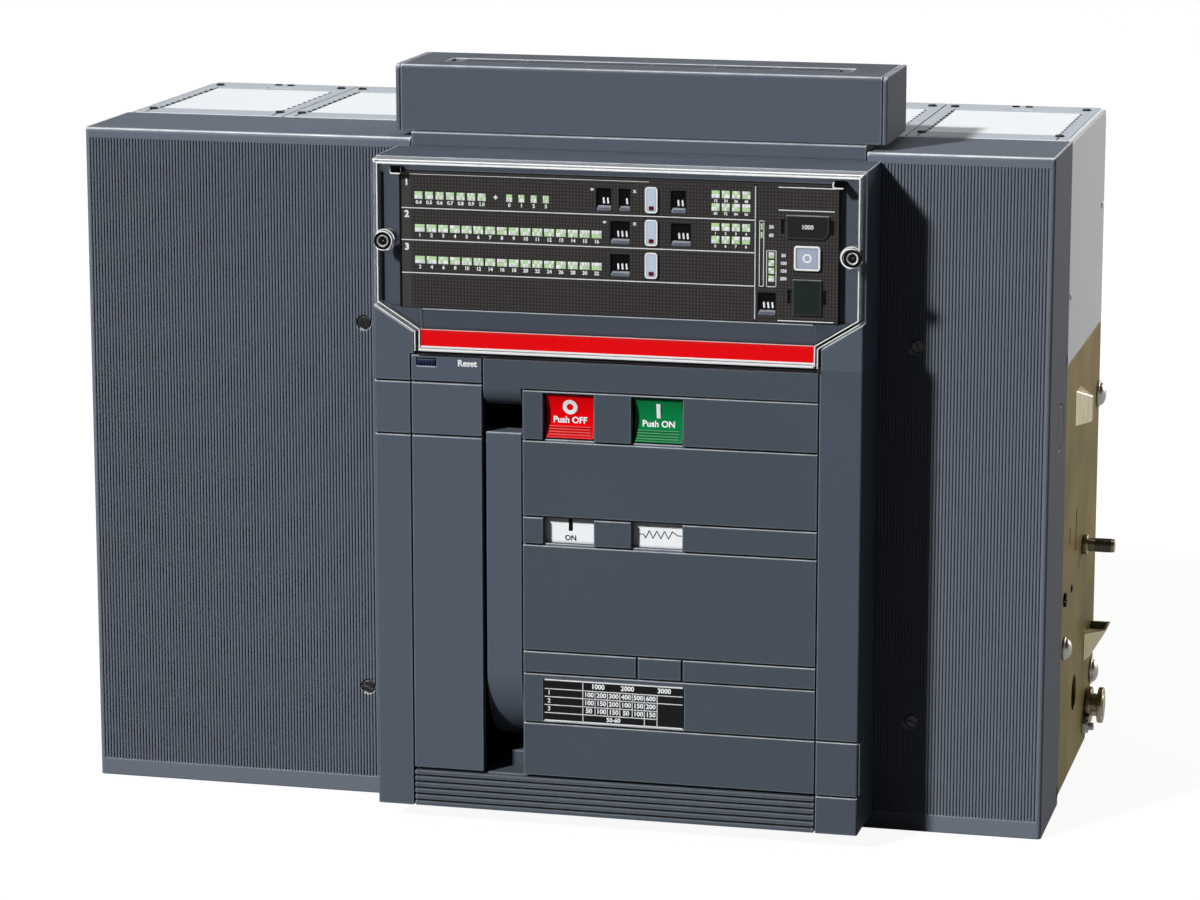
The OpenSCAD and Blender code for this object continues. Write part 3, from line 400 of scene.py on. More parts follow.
def dust_effect():
    """Thin dust on faces that look up, also used as a painted sheen on the clear cover."""
    tree, given, result = new_group(
        "Settled dust and sheen",
        [("Color", COLOUR), ("Dust Color", COLOUR), ("Amount", NUMBER)],
        [("Color", COLOUR), ("Mask", NUMBER)])
    up = add(tree, "ShaderNodeSeparateXYZ")
    feed(tree, up.inputs[0], add(tree, "ShaderNodeNewGeometry").outputs["Normal"])
    place = add(tree, "ShaderNodeTexCoord").outputs["Object"]
    level = calc(tree, "POWER", calc(tree, "MAXIMUM", up.outputs["Z"], 0.0), 2.0)
    cloud = calc(tree, "MULTIPLY_ADD", noise(tree, place, 38.0, 4.0), 1.4, -0.2, clamp=True)
    mask = calc(tree, "MULTIPLY", calc(tree, "MULTIPLY", level, cloud), given["Amount"], clamp=True)
    feed(tree, result["Color"], blend(tree, mask, given["Color"], given["Dust Color"]))
    feed(tree, result["Mask"], mask)
    return tree


def brushed_effect():
    """Drawn metal with fine streaks and stains."""
    tree, given, result = new_group(
        "Drawn metal",
        [("Color", COLOUR), ("Stain Color", COLOUR), ("Streaks", VECTOR), ("Roughness", NUMBER)],
        [("Color", COLOUR), ("Roughness", NUMBER), ("Height", NUMBER)])
    place = add(tree, "ShaderNodeTexCoord").outputs["Object"]
    stretch = add(tree, "ShaderNodeVectorMath", operation="MULTIPLY")
    feed(tree, stretch.inputs[0], place)
    feed(tree, stretch.inputs[1], given["Streaks"])
    streak = noise(tree, stretch.outputs["Vector"], 1.0, 4.0)
    stain = calc(tree, "MULTIPLY_ADD", noise(tree, place, 18.0, 5.0), 2.2, -0.65, clamp=True)
    base = blend(tree, stain, given["Color"], given["Stain Color"])
    tone = add(tree, "ShaderNodeHueSaturation")
    feed(tree, tone.inputs["Value"], calc(tree, "MULTIPLY_ADD", streak, 0.55, 0.7))
    feed(tree, tone.inputs["Color"], base)
    feed(tree, result["Color"], tone.outputs["Color"])
    rough = calc(tree, "MULTIPLY_ADD", calc(tree, "SUBTRACT", streak, 0.5), 0.3, given["Roughness"])
    feed(tree, result["Roughness"], rough)
    feed(tree, result["Height"], streak)
    return tree


def effect(label):
    """Shared node group, built once."""
    makers = {"Moulded grain": grain_effect, "Edge wear and painted light": wear_effect, "Settled dust and sheen": dust_effect,
              "Drawn metal": brushed_effect}
    return bpy.data.node_groups.get(label) or makers[label]()


def use_effect(tree, label, **values):
    """Place a shared effect in a material; underscores in names stand for spaces."""
    node = add(tree, "ShaderNodeGroup", node_tree=effect(label))
    for name, value in values.items():
        feed(tree, node.inputs[name.replace("_", " ")], value)
    return node.outputs


def new_material(name):
    """Material with a Principled shader."""
    material = bpy.data.materials.new(name)
    material.use_nodes = True
    return material, material.node_tree, material.node_tree.nodes["Principled BSDF"]


def bump(tree, shader, height, depth, normal=None):
    """Bump from a height in metres, over softened edges where their normal is given."""
    node = add(tree, "ShaderNodeBump")
    node.inputs["Strength"].default_value = 0.6
    node.inputs["Distance"].default_value = depth
    feed(tree, node.inputs["Height"], height)
    if normal:
        feed(tree, node.inputs["Normal"], normal)
    feed(tree, shader.inputs["Normal"], node.outputs["Normal"])


def inside_box(tree, lo, hi):
    """1 inside a box given by two corners, 0 outside."""
    axes = add(tree, "ShaderNodeSeparateXYZ")
    feed(tree, axes.inputs[0], add(tree, "ShaderNodeTexCoord").outputs["Object"])
    mask = 1.0
    for axis, low, high in zip("XYZ", lo, hi):
        for operation, limit in (("GREATER_THAN", low), ("LESS_THAN", high)):
            mask = calc(tree, "MULTIPLY", calc(tree, operation, axes.outputs[axis], limit), mask)
    return mask


def moulded(name, tint, grain=0.55, tone=0.1, rough=0.55, spread=0.16, wear_and_highlight=0.9, dust=0.06, relief=0.03,
            shine=0.04, edge_width=0.9, corner_shade=0.8, sides=0.15, painted_shade_boxes=()):
    """Moulded plastic with pale edges, partly wear and partly painted highlight, painted shade in the
    corners, and dust; grain, relief and the edge width are in millimetres.

    Inside the given boxes, behind the clear cover and on the right column of the panel, the tint is painted
    darker as painted shade.
    """
    material, tree, shader = new_material(name)
    base = tuple(tint)
    painted_shade_tint = [0.82 * v for v in tint[:3]] + [1.0]
    for box in painted_shade_boxes:
        base = blend(tree, inside_box(tree, *box), base, painted_shade_tint)
    skin = use_effect(tree, "Moulded grain", Color=base, Grain_Size=grain * MM, Tone_Spread=tone,
                      Roughness=rough, Roughness_Spread=spread)
    # Pale colour of the edges: wear, and painted highlight on edges that face up.
    pale = [min(1.0, 2.5 * v + 0.6) for v in tint[:3]] + [1.0]
    edge_wear_and_light = use_effect(tree, "Edge wear and painted light", Color=skin["Color"], Wear_Color=pale, Amount=wear_and_highlight, Width=edge_width * MM,
                      Upper_Share=1.0 - sides, Dirt=corner_shade)
    dust_and_sheen = use_effect(tree, "Settled dust and sheen", Color=edge_wear_and_light["Color"], Dust_Color=(0.42, 0.41, 0.39, 1),
                       Amount=dust)
    feed(tree, shader.inputs["Base Color"], dust_and_sheen["Color"])
    feed(tree, shader.inputs["Roughness"], skin["Roughness"])
    shader.inputs["Specular IOR Level"].default_value = shine
    bump(tree, shader, skin["Height"], relief * MM, edge_wear_and_light["Normal"])
    return material


def drawn_metal(name, tint, stain, streaks=(60, 60, 900), rough=0.38, wear_and_highlight=0.3, metallic=0.9, tab=None):
    """Metal with fine streaks, stains, bright edges and painted shade in the corners; the tab colour is a
    lighter copy painted outside the side plates, as painted light on the tabs and lugs.
    """
    material, tree, shader = new_material(name)
    base = tuple(tint)
    shader.inputs["Metallic"].default_value = metallic
    # Painted light: tabs and lugs outside the side plates get a lighter, less metallic copy of the tint.
    if tab:
        inside = inside_box(tree, (-PLATE_FACE, -1, -1), (PLATE_FACE, 1, 1))
        base = blend(tree, inside, tuple(tab), base)
        feed(tree, shader.inputs["Metallic"], calc(tree, "MULTIPLY_ADD", inside, metallic - 0.2, 0.2))
    skin = use_effect(tree, "Drawn metal", Color=base, Stain_Color=stain, Streaks=streaks, Roughness=rough)
    bright = [min(1.0, 1.8 * v + 0.1) for v in tint[:3]] + [1.0]
    edge_wear_and_light = use_effect(tree, "Edge wear and painted light", Color=skin["Color"], Wear_Color=bright, Amount=wear_and_highlight, Width=0.6 * MM,
                      Dirt=0.6)
    feed(tree, shader.inputs["Base Color"], edge_wear_and_light["Color"])
    feed(tree, shader.inputs["Roughness"], skin["Roughness"])
    shader.inputs["Specular Tint"].default_value = [min(1.0, 2.2 * v + 0.1) for v in tint[:3]] + [1.0]
    bump(tree, shader, skin["Height"], 0.02 * MM, edge_wear_and_light["Normal"])
    return material


def relay_face(tint):
    """Brown-black relay front with a fine printed grid."""
    pitch = 1.9 * MM
    margin = RELAY_LO.x + 7 * MM
    material, tree, shader = new_material("relay_face")
    axes = add(tree, "ShaderNodeSeparateXYZ")
    feed(tree, axes.inputs[0], add(tree, "ShaderNodeTexCoord").outputs["Object"])
    lines = [calc(tree, "LESS_THAN", calc(tree, "FRACT", calc(tree, "DIVIDE", axes.outputs[a], pitch)), 0.34)
             for a in ("X", "Z")]
    inside = calc(tree, "GREATER_THAN", axes.outputs["X"], margin)
    mesh = calc(tree, "MULTIPLY", calc(tree, "MAXIMUM", *lines), inside)
    dark = [0.42 * v for v in tint[:3]] + [1.0]
    skin = use_effect(tree, "Moulded grain", Color=blend(tree, mesh, tuple(tint), dark), Grain_Size=0.4 * MM,
                      Tone_Spread=0.2, Roughness=0.42, Roughness_Spread=0.1)
    feed(tree, shader.inputs["Base Color"], skin["Color"])
    feed(tree, shader.inputs["Roughness"], skin["Roughness"])
    shader.inputs["Specular IOR Level"].default_value = 0.12
    bump(tree, shader, skin["Height"], 0.02 * MM)
    return material


def clear_plastic(tint):
    """Clear moulded cover: thin where seen square on, with painted white highlights on its edges, painted
    glints on its top rim and a painted sheen on faces that look up.
    """
    material, tree, shader = new_material("clear_plastic")
    skin = use_effect(tree, "Moulded grain", Color=tuple(tint), Grain_Size=6 * MM, Tone_Spread=0.06,
                      Roughness=0.07, Roughness_Spread=0.05)
    # Painted highlight: white on all edges of the cover.
    edge_wear_and_light = use_effect(tree, "Edge wear and painted light", Color=skin["Color"], Wear_Color=(1, 1, 1, 1), Amount=2.2,
                      Width=0.9 * MM)
    # Painted sheen: white on faces that look up, which also makes them more opaque.
    dust_and_sheen = use_effect(tree, "Settled dust and sheen", Color=edge_wear_and_light["Color"], Dust_Color=(1, 1, 1, 1), Amount=0.3)
    up = add(tree, "ShaderNodeSeparateXYZ")
    feed(tree, up.inputs[0], add(tree, "ShaderNodeNewGeometry").outputs["Normal"])
    # Painted glints: white bands on the top rim where faces lean up by fixed angles.
    glint = 0.0
    for lean in (0.34, 0.86):
        off = calc(tree, "ABSOLUTE", calc(tree, "SUBTRACT", up.outputs["Z"], lean))
        glint = calc(tree, "MAXIMUM", glint, calc(tree, "MULTIPLY_ADD", off, -9.0, 1.4, clamp=True))
    glint = calc(tree, "MULTIPLY", glint, inside_box(tree, (-1, -1, RELAY_HI.z), (1, 1, 1)))
    feed(tree, shader.inputs["Base Color"], blend(tree, glint, dust_and_sheen["Color"], (1, 1, 1, 1)))
    feed(tree, shader.inputs["Roughness"], skin["Roughness"])
    facing = add(tree, "ShaderNodeLayerWeight").outputs["Facing"]
    thick = calc(tree, "MULTIPLY_ADD", calc(tree, "POWER", facing, 3.0), 0.5, 0.002)
    top_sheen = calc(tree, "MULTIPLY", dust_and_sheen["Mask"], 0.6)
    rim = calc(tree, "MAXIMUM", calc(tree, "MAXIMUM", edge_wear_and_light["Mask"], glint), top_sheen)
    feed(tree, shader.inputs["Alpha"], calc(tree, "MULTIPLY_ADD", rim, 0.9, thick, clamp=True))
    shader.inputs["Specular IOR Level"].default_value = 0.15
    return material


# Pieces

class BREAKER_OT_mouldings(bpy.types.Operator):
    """Finish the slate-grey covers, front panel, lever and terminal box"""

    bl_idname = "breaker.mouldings"
    bl_label = "Finish mouldings"

    def execute(self, context):
        tints = context.scene.breaker_colours
        sizes = context.scene.breaker_sizes
        cover = moulded("slate_cover", tints.cover, edge_width=1.5, corner_shade=0.05, sides=0.02)
        finish_nodes(["left_side_cover", "right_side_cover"], cover, sizes.fine_edge, 1, 40)
        # Painted shade: the panel is painted darker behind the clear cover and on its right column.
        behind = (CLEAR_LO + Vector((0, 4.3 * MM, 0)), CLEAR_HI + Vector((0, 30 * MM, 0)))
        column = (Vector((FASCIA_HI.x + 0.5 * MM, -1, 0)), Vector((1, 1, CLEAR_LO.z)))
        panel = moulded("slate_panel", tints.panel, painted_shade_boxes=(behind, column))
        finish_nodes(["front_shell", "lever_fascia", "charging_lever"], panel, sizes.edge)
        fascia = moulded("slate_fascia", tints.fascia)
        finish_nodes(["control_fascia", "head_fascia"], fascia, sizes.edge)
        finish_nodes(["vent_grille"], moulded("slate_grille", tints.fascia, wear_and_highlight=0.3, sides=0.9), sizes.edge)
        box = moulded("slate_box", tints.box, dust=0.2, edge_width=1.3)
        finish_nodes(["terminal_box", "left_box_end", "right_box_end", "upper_frame"], box, sizes.edge)
        return {"FINISHED"}


class BREAKER_OT_metalwork(bpy.types.Operator):
    """Finish the side plates, feet, lugs, pins, rollers and terminals"""

    bl_idname = "breaker.metalwork"
    bl_label = "Finish metalwork"

    def execute(self, context):
        tints = context.scene.breaker_colours
        edge = context.scene.breaker_sizes.metal_edge
        zinc = drawn_metal("passivated_zinc", tints.zinc, srgb(86, 77, 42), (700, 700, 40), 0.5, 0.4, 0.4,
                           tints.tab)
        steel = drawn_metal("bright_steel", tints.steel, srgb(120, 110, 84), (40, 900, 900), 0.26)
        silver = drawn_metal("silvered_copper", tints.silver, srgb(190, 172, 150), (900, 60, 900), 0.34)
        for side in ("left", "right"):
            finish_nodes([f"{side}_side_plate", f"{side}_lifting_lug", f"{side}_foot_rail"], zinc, edge)
            finish_nodes([f"{side}_lock_pin", f"{side}_guide_roller"], steel, edge)
        finish_nodes(["lever_pin"], steel)
        terminals = [f"{row}_terminal_{k}" for row in ("upper", "lower") for k in (1, 2, 3)]
        finish_nodes(terminals, silver, 2 * edge)
        return {"FINISHED"}


class BREAKER_OT_pole_case(bpy.types.Operator):
    """Finish the moulded pole case and the mechanism behind the panel"""

    bl_idname = "breaker.pole_case"
    bl_label = "Finish pole case"

    def execute(self, context):
        tints = context.scene.breaker_colours
        resin = moulded("case_resin", tints.resin, grain=1.1, tone=0.3, rough=0.55, relief=0.06)
        finish_nodes(["pole_case"], resin, context.scene.breaker_sizes.edge)
        black = moulded("mechanism_black", tints.black, tone=0.25, rough=0.6, wear_and_highlight=0.1)
        finish_nodes(["left_mechanism_block", "right_mechanism_block"], black)
        return {"FINISHED"}


class BREAKER_OT_arc_chutes(bpy.types.Operator):
    """Finish the arc chutes and add their screws, split lines, perforations and panel pins"""

    bl_idname = "breaker.arc_chutes"
    bl_label = "Dress arc chutes"

    SCREW_X = 6.5 * MM
    SCREW_FRONT = 18 * MM
    SCREW_REAR = 16 * MM
    HOLE_PITCH = 10.2 * MM
    HOLE_X = 9.4 * MM
    # Distance from the front edge of a side panel, height above its foot, and radius
    PINS = ((145.5, 72.5, 2.2), (4.5, 39.5, 1.9))

    def execute(self, context):
        tints = context.scene.breaker_colours
        sizes = context.scene.breaker_sizes
        grey = moulded("chute_grey", tints.chute, tone=0.05, wear_and_highlight=0.2, dust=0.05)
        finish_nodes(CHUTES, grey, sizes.fine_edge)
        white = moulded("filter_white", tints.filter, grain=0.9, tone=0.07, rough=0.6, wear_and_highlight=0.1, dust=0.05,
                        relief=0.05)
        finish_nodes(["chute_filters"], white, sizes.fine_edge)
        satin = moulded("side_panel_grey", tints.side_panel, tone=0.06, rough=0.4, shine=0.15)
        finish_nodes(["left_chute_panel", "right_chute_panel"], satin, sizes.fine_edge)
        screws = bmesh.new()
        marks = bmesh.new()
        for name in CHUTES:
            lo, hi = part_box(name)
            self.add_screws(screws, lo, hi, sizes.chute_screw)
            self.add_marks(marks, lo, hi)
        black = moulded("screw_black", tints.black, tone=0.2, rough=0.35, wear_and_highlight=0.12, dust=0)
        link_piece("chute_screws", screws, black)
        dark = moulded("perforation_dark", srgb(24, 26, 29), wear_and_highlight=0, dust=0)
        link_piece("chute_perforations", marks, dark)
        self.add_pins()
        return {"FINISHED"}

    def add_pins(self):
        """Two small round heads on each side panel."""
        bm = bmesh.new()
        lo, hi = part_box("right_chute_panel")
        for side in (-1, 1):
            turn = Matrix.Rotation(side * math.radians(90), 4, "Y")
            for y, z, radius in self.PINS:
                place = Matrix.Translation((side * hi.x, lo.y + y * MM, lo.z + z * MM)) @ turn
                profile = ((0, 0), (1, 0), (1, 0.4), (0.75, 0.9), (0.4, 1.1), (0, 1.15))
                add_lathe(bm, [(share * radius * MM, high * MM) for share, high in profile], place, 20)
        link_piece("panel_pins", bm, bpy.data.materials["bright_steel"])

    def add_screws(self, bm, lo, hi, radius):
        """Slotted screw at each corner of a chute."""
        for x in (lo.x + self.SCREW_X, hi.x - self.SCREW_X):
            for y in (lo.y + self.SCREW_FRONT, hi.y - self.SCREW_REAR):
                place = Matrix.Translation((x, y, hi.z)) @ Matrix.Rotation(0.4 + 37 * x, 4, "Z")
                add_slotted_head(bm, place, radius, 1.0 * MM, 0.9 * MM, 0.6 * MM)

    def add_marks(self, bm, lo, hi):
        """Split lines, perforations and clip on the top of a chute."""
        line = 0.7 * MM
        for x in (lo.x + self.SCREW_X, hi.x - self.SCREW_X):
            add_box(bm, (x - line / 2, lo.y + 3.2 * MM, hi.z - PRINT_T),
                    (x + line / 2, lo.y + self.SCREW_FRONT, hi.z + PRINT_T))
        start = lo.y + self.SCREW_FRONT + 8 * MM
        end = hi.y - self.SCREW_REAR - 10 * MM
        for k in range(int((end - start) / self.HOLE_PITCH)):
            y = start + k * self.HOLE_PITCH
            for x in (lo.x + self.HOLE_X - 2.2 * MM, hi.x - self.HOLE_X + 1.4 * MM):
                add_box(bm, (x, y, hi.z - PRINT_T), (x + 1.2 * MM, y + 4.0 * MM, hi.z + PRINT_T))
        for x in ((lo.x + hi.x) / 2 - 6 * MM, (lo.x + hi.x) / 2 + 2 * MM):
            add_box(bm, (x, hi.y - 9 * MM, hi.z - PRINT_T), (x + 4 * MM, hi.y - 6 * MM, hi.z + 0.6 * MM))


class BREAKER_OT_cover_screws(bpy.types.Operator):
    """Add the black screws in the recesses of the side covers, and their clips"""

    bl_idname = "breaker.cover_screws"
    bl_label = "Add cover screws"

    FROM_PANEL = 21 * MM
    LOW = 64.6 * MM
    GAP = 217 * MM
    RECESS = 2.0 * MM
    CLIPS = (8 * MM, 265 * MM)

    def execute(self, context):
        radius = context.scene.breaker_sizes.cover_screw
        bm = bmesh.new()
        for x in (SHELL_LO.x - self.FROM_PANEL, SHELL_HI.x + self.FROM_PANEL):
            for z in (self.LOW, self.LOW + self.GAP):
                place = on_front(x, COVER_LO.y + self.RECESS, z) @ Matrix.Rotation(0.5 + 11 * z, 4, "Z")
                add_slotted_head(bm, place, radius, 1.7 * MM, 1.1 * MM, 0.9 * MM)
        black = context.scene.breaker_colours.black
        gloss = moulded("screw_gloss", black, tone=0.2, rough=0.22, wear_and_highlight=0.25, shine=0.4)
        link_piece("cover_screws", bm, gloss)
        clips = bmesh.new()
        for side in (-1, 1):
            for z in self.CLIPS:
                place = Matrix.Translation((-side * COVER_LO.x, COVER_HI.y - 2.6 * MM, z))
                turn = Matrix.Rotation(side * math.radians(90), 4, "Y")
                outline = rounded(7 * MM, 3.2 * MM, 0.6 * MM)
                add_extrusion(clips, outline, -0.4 * MM, 0.25 * MM, place @ turn, 0.9)
        ink = moulded("clip_and_gap_shade_black", srgb(9, 9, 10), tone=0.2, wear_and_highlight=0, dust=0, corner_shade=0)
        link_piece("cover_clips", clips, ink)
        return {"FINISHED"}


class BREAKER_OT_plate_bolts(bpy.types.Operator):
    """Add the bolts, studs, ramps, openings and pin threads of both side plates"""

    bl_idname = "breaker.plate_bolts"
    bl_label = "Add side plate bolts"

    # Distance from the front edge of the plate, height and size of each dome
    DOMES = ((151.5, 216, 1.0), (146.5, 43, 1.0), (11.5, 91, 0.85))
    STUD = (115.5, 16)
    # Distance from the front edge and height, then the height of a slot or the radius of a round part
    SLOTS = ((56.5, 139, 25), (28.5, 148, 11))
    HOLE = (65.5, 50, 10.8)
    BUSH = (10, 120.5, 4.2)
    RIVET = (43, 119.6, 2.4)
    # Start and end from the front edge, low and high level, then the outer level and how far it stands out
    RAMPS = ((42.5, 59.7, 217, 238, 232, 8, 8), (111, 123.7, 58, 75, 75, 2.2, 12))

    def execute(self, context):
        radius = context.scene.breaker_sizes.dome
        bm = bmesh.new()
        for side in (-1, 1):
            turn = Matrix.Rotation(side * math.radians(90), 4, "Y")
            for y, z, size in self.DOMES:
                place = Matrix.Translation((side * self.face(), PLATE_LO.y + y * MM, z * MM)) @ turn
                self.add_dome(bm, place, radius * size)
            y, z = self.STUD
            place = Matrix.Translation((side * self.face(), PLATE_LO.y + y * MM, z * MM)) @ turn
            self.add_stud(bm, place)
        steel = bpy.data.materials["bright_steel"]
        bolts = link_piece("side_plate_bolts", bm, steel)
        round_edges(bolts, 0.25 * MM)
        self.add_ramps(context.scene.breaker_colours.tab)
        self.add_openings(bpy.data.materials["screw_black"])
        self.add_threads(context.scene.breaker_colours.steel)
        return {"FINISHED"}

    def add_ramps(self, tint):
        """Pressed ramps that lead up to the stop tabs and the lifting lugs."""
        bm = bmesh.new()
        for side in (-1, 1):
            for start, end, low, high, high_out, out_low, out in self.RAMPS:
                spots = ((0, start, low), (0, start, high), (out_low, end, low), (out, end, high_out),
                         (0, end, low), (0, end, high))
                corners = [bm.verts.new((side * (self.face() + x * MM), PLATE_LO.y + y * MM, z * MM))
                           for x, y, z in spots]
                for face in ((0, 2, 3, 1), (0, 4, 2), (1, 3, 5), (4, 5, 3, 2), (0, 1, 5, 4)):
                    bm.faces.new([corners[k] for k in face])
        # Painted light: the ramps take the lighter copy of the zinc.
        plating = drawn_metal("lit_tab_plating", tint, srgb(206, 196, 160), (700, 700, 40), 0.34, metallic=1.0)
        round_edges(link_piece("side_plate_ramps", bm, plating), 0.4 * MM)

    def add_openings(self, black):
        """Dark liners behind the slots and the hole, with a slotted bush and a rivet."""
        bm = bmesh.new()
        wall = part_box("right_chute_panel")[0].x
        for side in (-1, 1):
            for y, z, height in self.SLOTS:
                lo = Vector((wall, PLATE_LO.y + (y + 0.6) * MM, (z + 0.1) * MM))
                hi = Vector((wall + 1.4 * MM, PLATE_LO.y + (y + 4.4) * MM, (z + height - 0.1) * MM))
                add_box(bm, Vector((side * lo.x, lo.y, lo.z)), Vector((side * hi.x, hi.y, hi.z)))
            turn = Matrix.Rotation(side * math.radians(90), 4, "Y")
            y, z, radius = self.HOLE
            place = Matrix.Translation((side * wall, PLATE_LO.y + y * MM, z * MM)) @ turn
            add_lathe(bm, [(0, 0), (radius * MM, 0), (radius * MM, 0.6 * MM), (0, 0.6 * MM)], place)
            y, z, radius = self.BUSH
            place = Matrix.Translation((side * self.face(), PLATE_LO.y + y * MM, z * MM)) @ turn
            add_slotted_head(bm, place, radius * MM, 1.6 * MM, 1.4 * MM, 1.0 * MM)
            y, z, radius = self.RIVET
            place = Matrix.Translation((side * self.face(), PLATE_LO.y + y * MM, z * MM)) @ turn
            profile = [(0, 0), (radius * MM, 0), (0.8 * radius * MM, 0.7 * MM), (0, 0.9 * MM)]
            add_lathe(bm, profile, place, 20)
        link_piece("side_plate_openings", bm, black)

    def add_threads(self, tint):
        """Thread on the outer half of each lock pin."""
        dark = drawn_metal("thread_steel", [0.35 * v for v in tint[:3]] + [1.0], srgb(40, 34, 22), rough=0.4)
        bm = bmesh.new()
        for name, side in (("left_lock_pin", -1), ("right_lock_pin", 1)):
            lo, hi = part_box(name)
            middle = (lo + hi) / 2
            place = Matrix.Translation((side * self.face(), middle.y, middle.z))
            place = place @ Matrix.Rotation(side * math.radians(90), 4, "Y")
            steps = range(17)
            teeth = [((4.35 if k % 2 else 3.98) * MM, (7.5 + 0.6 * k) * MM) for k in steps]
            add_lathe(bm, [(3.9 * MM, 7.3 * MM), *teeth, (3.9 * MM, 17.3 * MM)], place, 28)
        link_piece("pin_threads", bm, dark)

    def face(self):
        """Outer face of the right side plate."""
        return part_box("right_chute_panel")[1].x

    def add_dome(self, bm, place, radius):
        """Domed bolt with its flange."""
        crown = [(radius * math.cos(a), 1.4 * MM + 3.6 * MM * math.sin(a)) for a in
                 (k * math.pi / 16 for k in range(8))]
        flange = [(0, 0), (1.15 * radius, 0), (1.15 * radius, 1.2 * MM), (radius, 1.4 * MM)]
        add_lathe(bm, [*flange, *crown[1:], (0, 5 * MM)], place)

    def add_stud(self, bm, place):
        """Nut on a short threaded stud."""
        nut = arc(4.6 * MM, 0, 2 * math.pi * 5 / 6, 5)
        add_extrusion(bm, nut, 0, 3.4 * MM, place, 0.96)
        thread = [(2.5 * MM if k % 2 else 2.2 * MM, 3.4 * MM + k * 0.4 * MM) for k in range(9)]
        add_lathe(bm, [(0, 3.3 * MM), *thread, (0, 6.8 * MM)], place, 20)


class BREAKER_OT_rear_fittings(bpy.types.Operator):
    """Add collars around the rear terminals, case screws and ribs on the backs of the chutes"""

    bl_idname = "breaker.rear_fittings"
    bl_label = "Add rear fittings"

    COLLAR = 5.0 * MM
    COLLAR_OUT = 4.0 * MM
    RIBS = (12, 18, 24, 30)

    def execute(self, context):
        collars = bmesh.new()
        screws = bmesh.new()
        for row in ("upper", "lower"):
            for k in (1, 2, 3):
                self.add_collar(collars, screws, *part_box(f"{row}_terminal_{k}"))
        resin = bpy.data.materials["case_resin"]
        round_edges(link_piece("terminal_collars", collars, resin), 0.6 * MM)
        ribs = bmesh.new()
        for name in CHUTES:
            self.add_ribs(ribs, screws, *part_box(name))
        grey = bpy.data.materials["chute_grey"]
        round_edges(link_piece("chute_ribs", ribs, grey), 0.25 * MM)
        link_piece("rear_screws", screws, bpy.data.materials["bright_steel"])
        return {"FINISHED"}

    def back(self, x, y, z, turn=0.0):
        """Placement on a face that looks to the back."""
        place = Matrix.Translation((x, y, z)) @ Matrix.Rotation(math.radians(-90), 4, "X")
        return place @ Matrix.Rotation(turn, 4, "Z")

    def add_collar(self, bm, screws, lo, hi):
        """Moulded frame around the root of a terminal, with a screw at each end."""
        gap = 0.8 * MM
        wall = REAR_WALL - 0.5 * MM
        out = REAR_WALL + self.COLLAR_OUT
        edge = self.COLLAR
        for z0, z1 in ((lo.z - gap - edge, lo.z - gap), (hi.z + gap, hi.z + gap + edge)):
            add_box(bm, (lo.x - gap - edge, wall, z0), (hi.x + gap + edge, out, z1))
        for x0, x1 in ((lo.x - gap - edge, lo.x - gap), (hi.x + gap, hi.x + gap + edge)):
            add_box(bm, (x0, wall, lo.z - gap), (x1, out, hi.z + gap))
        for x in (lo.x + 12 * MM, hi.x - 12 * MM):
            place = self.back(x, REAR_WALL, hi.z + 18 * MM, 40 * x)
            add_slotted_head(screws, place, 4 * MM, 2.4 * MM, 1.2 * MM, 1.2 * MM)

    def add_ribs(self, bm, screws, lo, hi):
        """Level ribs below the top of a chute and two screws at its foot."""
        middle = (lo.x + hi.x) / 2
        for drop in self.RIBS:
            place = self.back(middle, hi.y, hi.z - drop * MM)
            outline = rounded(hi.x - lo.x - 24 * MM, 2.0 * MM, 0.9 * MM)
            add_extrusion(bm, outline, -0.2 * MM, 0.9 * MM, place, 0.99)
        for x in (lo.x + 10 * MM, hi.x - 10 * MM):
            place = self.back(x, hi.y, lo.z + 9 * MM, 60 * x)
            add_slotted_head(screws, place, 3 * MM, 1.6 * MM, 1.0 * MM, 0.9 * MM)


class BREAKER_OT_relay(bpy.types.Operator):
    """Finish the relay, its clear cover, plug, test key and cap"""

    bl_idname = "breaker.relay"
    bl_label = "Finish relay"

    def execute(self, context):
        tints = context.scene.breaker_colours
        fine = context.scene.breaker_sizes.fine_edge
        finish_nodes(["relay_body"], relay_face(tints.relay), fine)
        finish_nodes(["relay_cover"], clear_plastic(tints.clear), 2.5 * fine)
        plug = moulded("plug_black", srgb(42, 40, 38), tone=0.15, rough=0.35, wear_and_highlight=0.7)
        finish_nodes(["rating_plug"], plug, 2 * fine)
        test = moulded("test_grey", tints.test, tone=0.06, rough=0.35, dust=0)
        finish_nodes(["test_key"], test, 2 * fine)
        cap = moulded("cap_green", tints.cap, tone=0.12, rough=0.4, wear_and_highlight=0.5)
        finish_nodes(["connector_cap"], cap, 2 * fine)
        return {"FINISHED"}


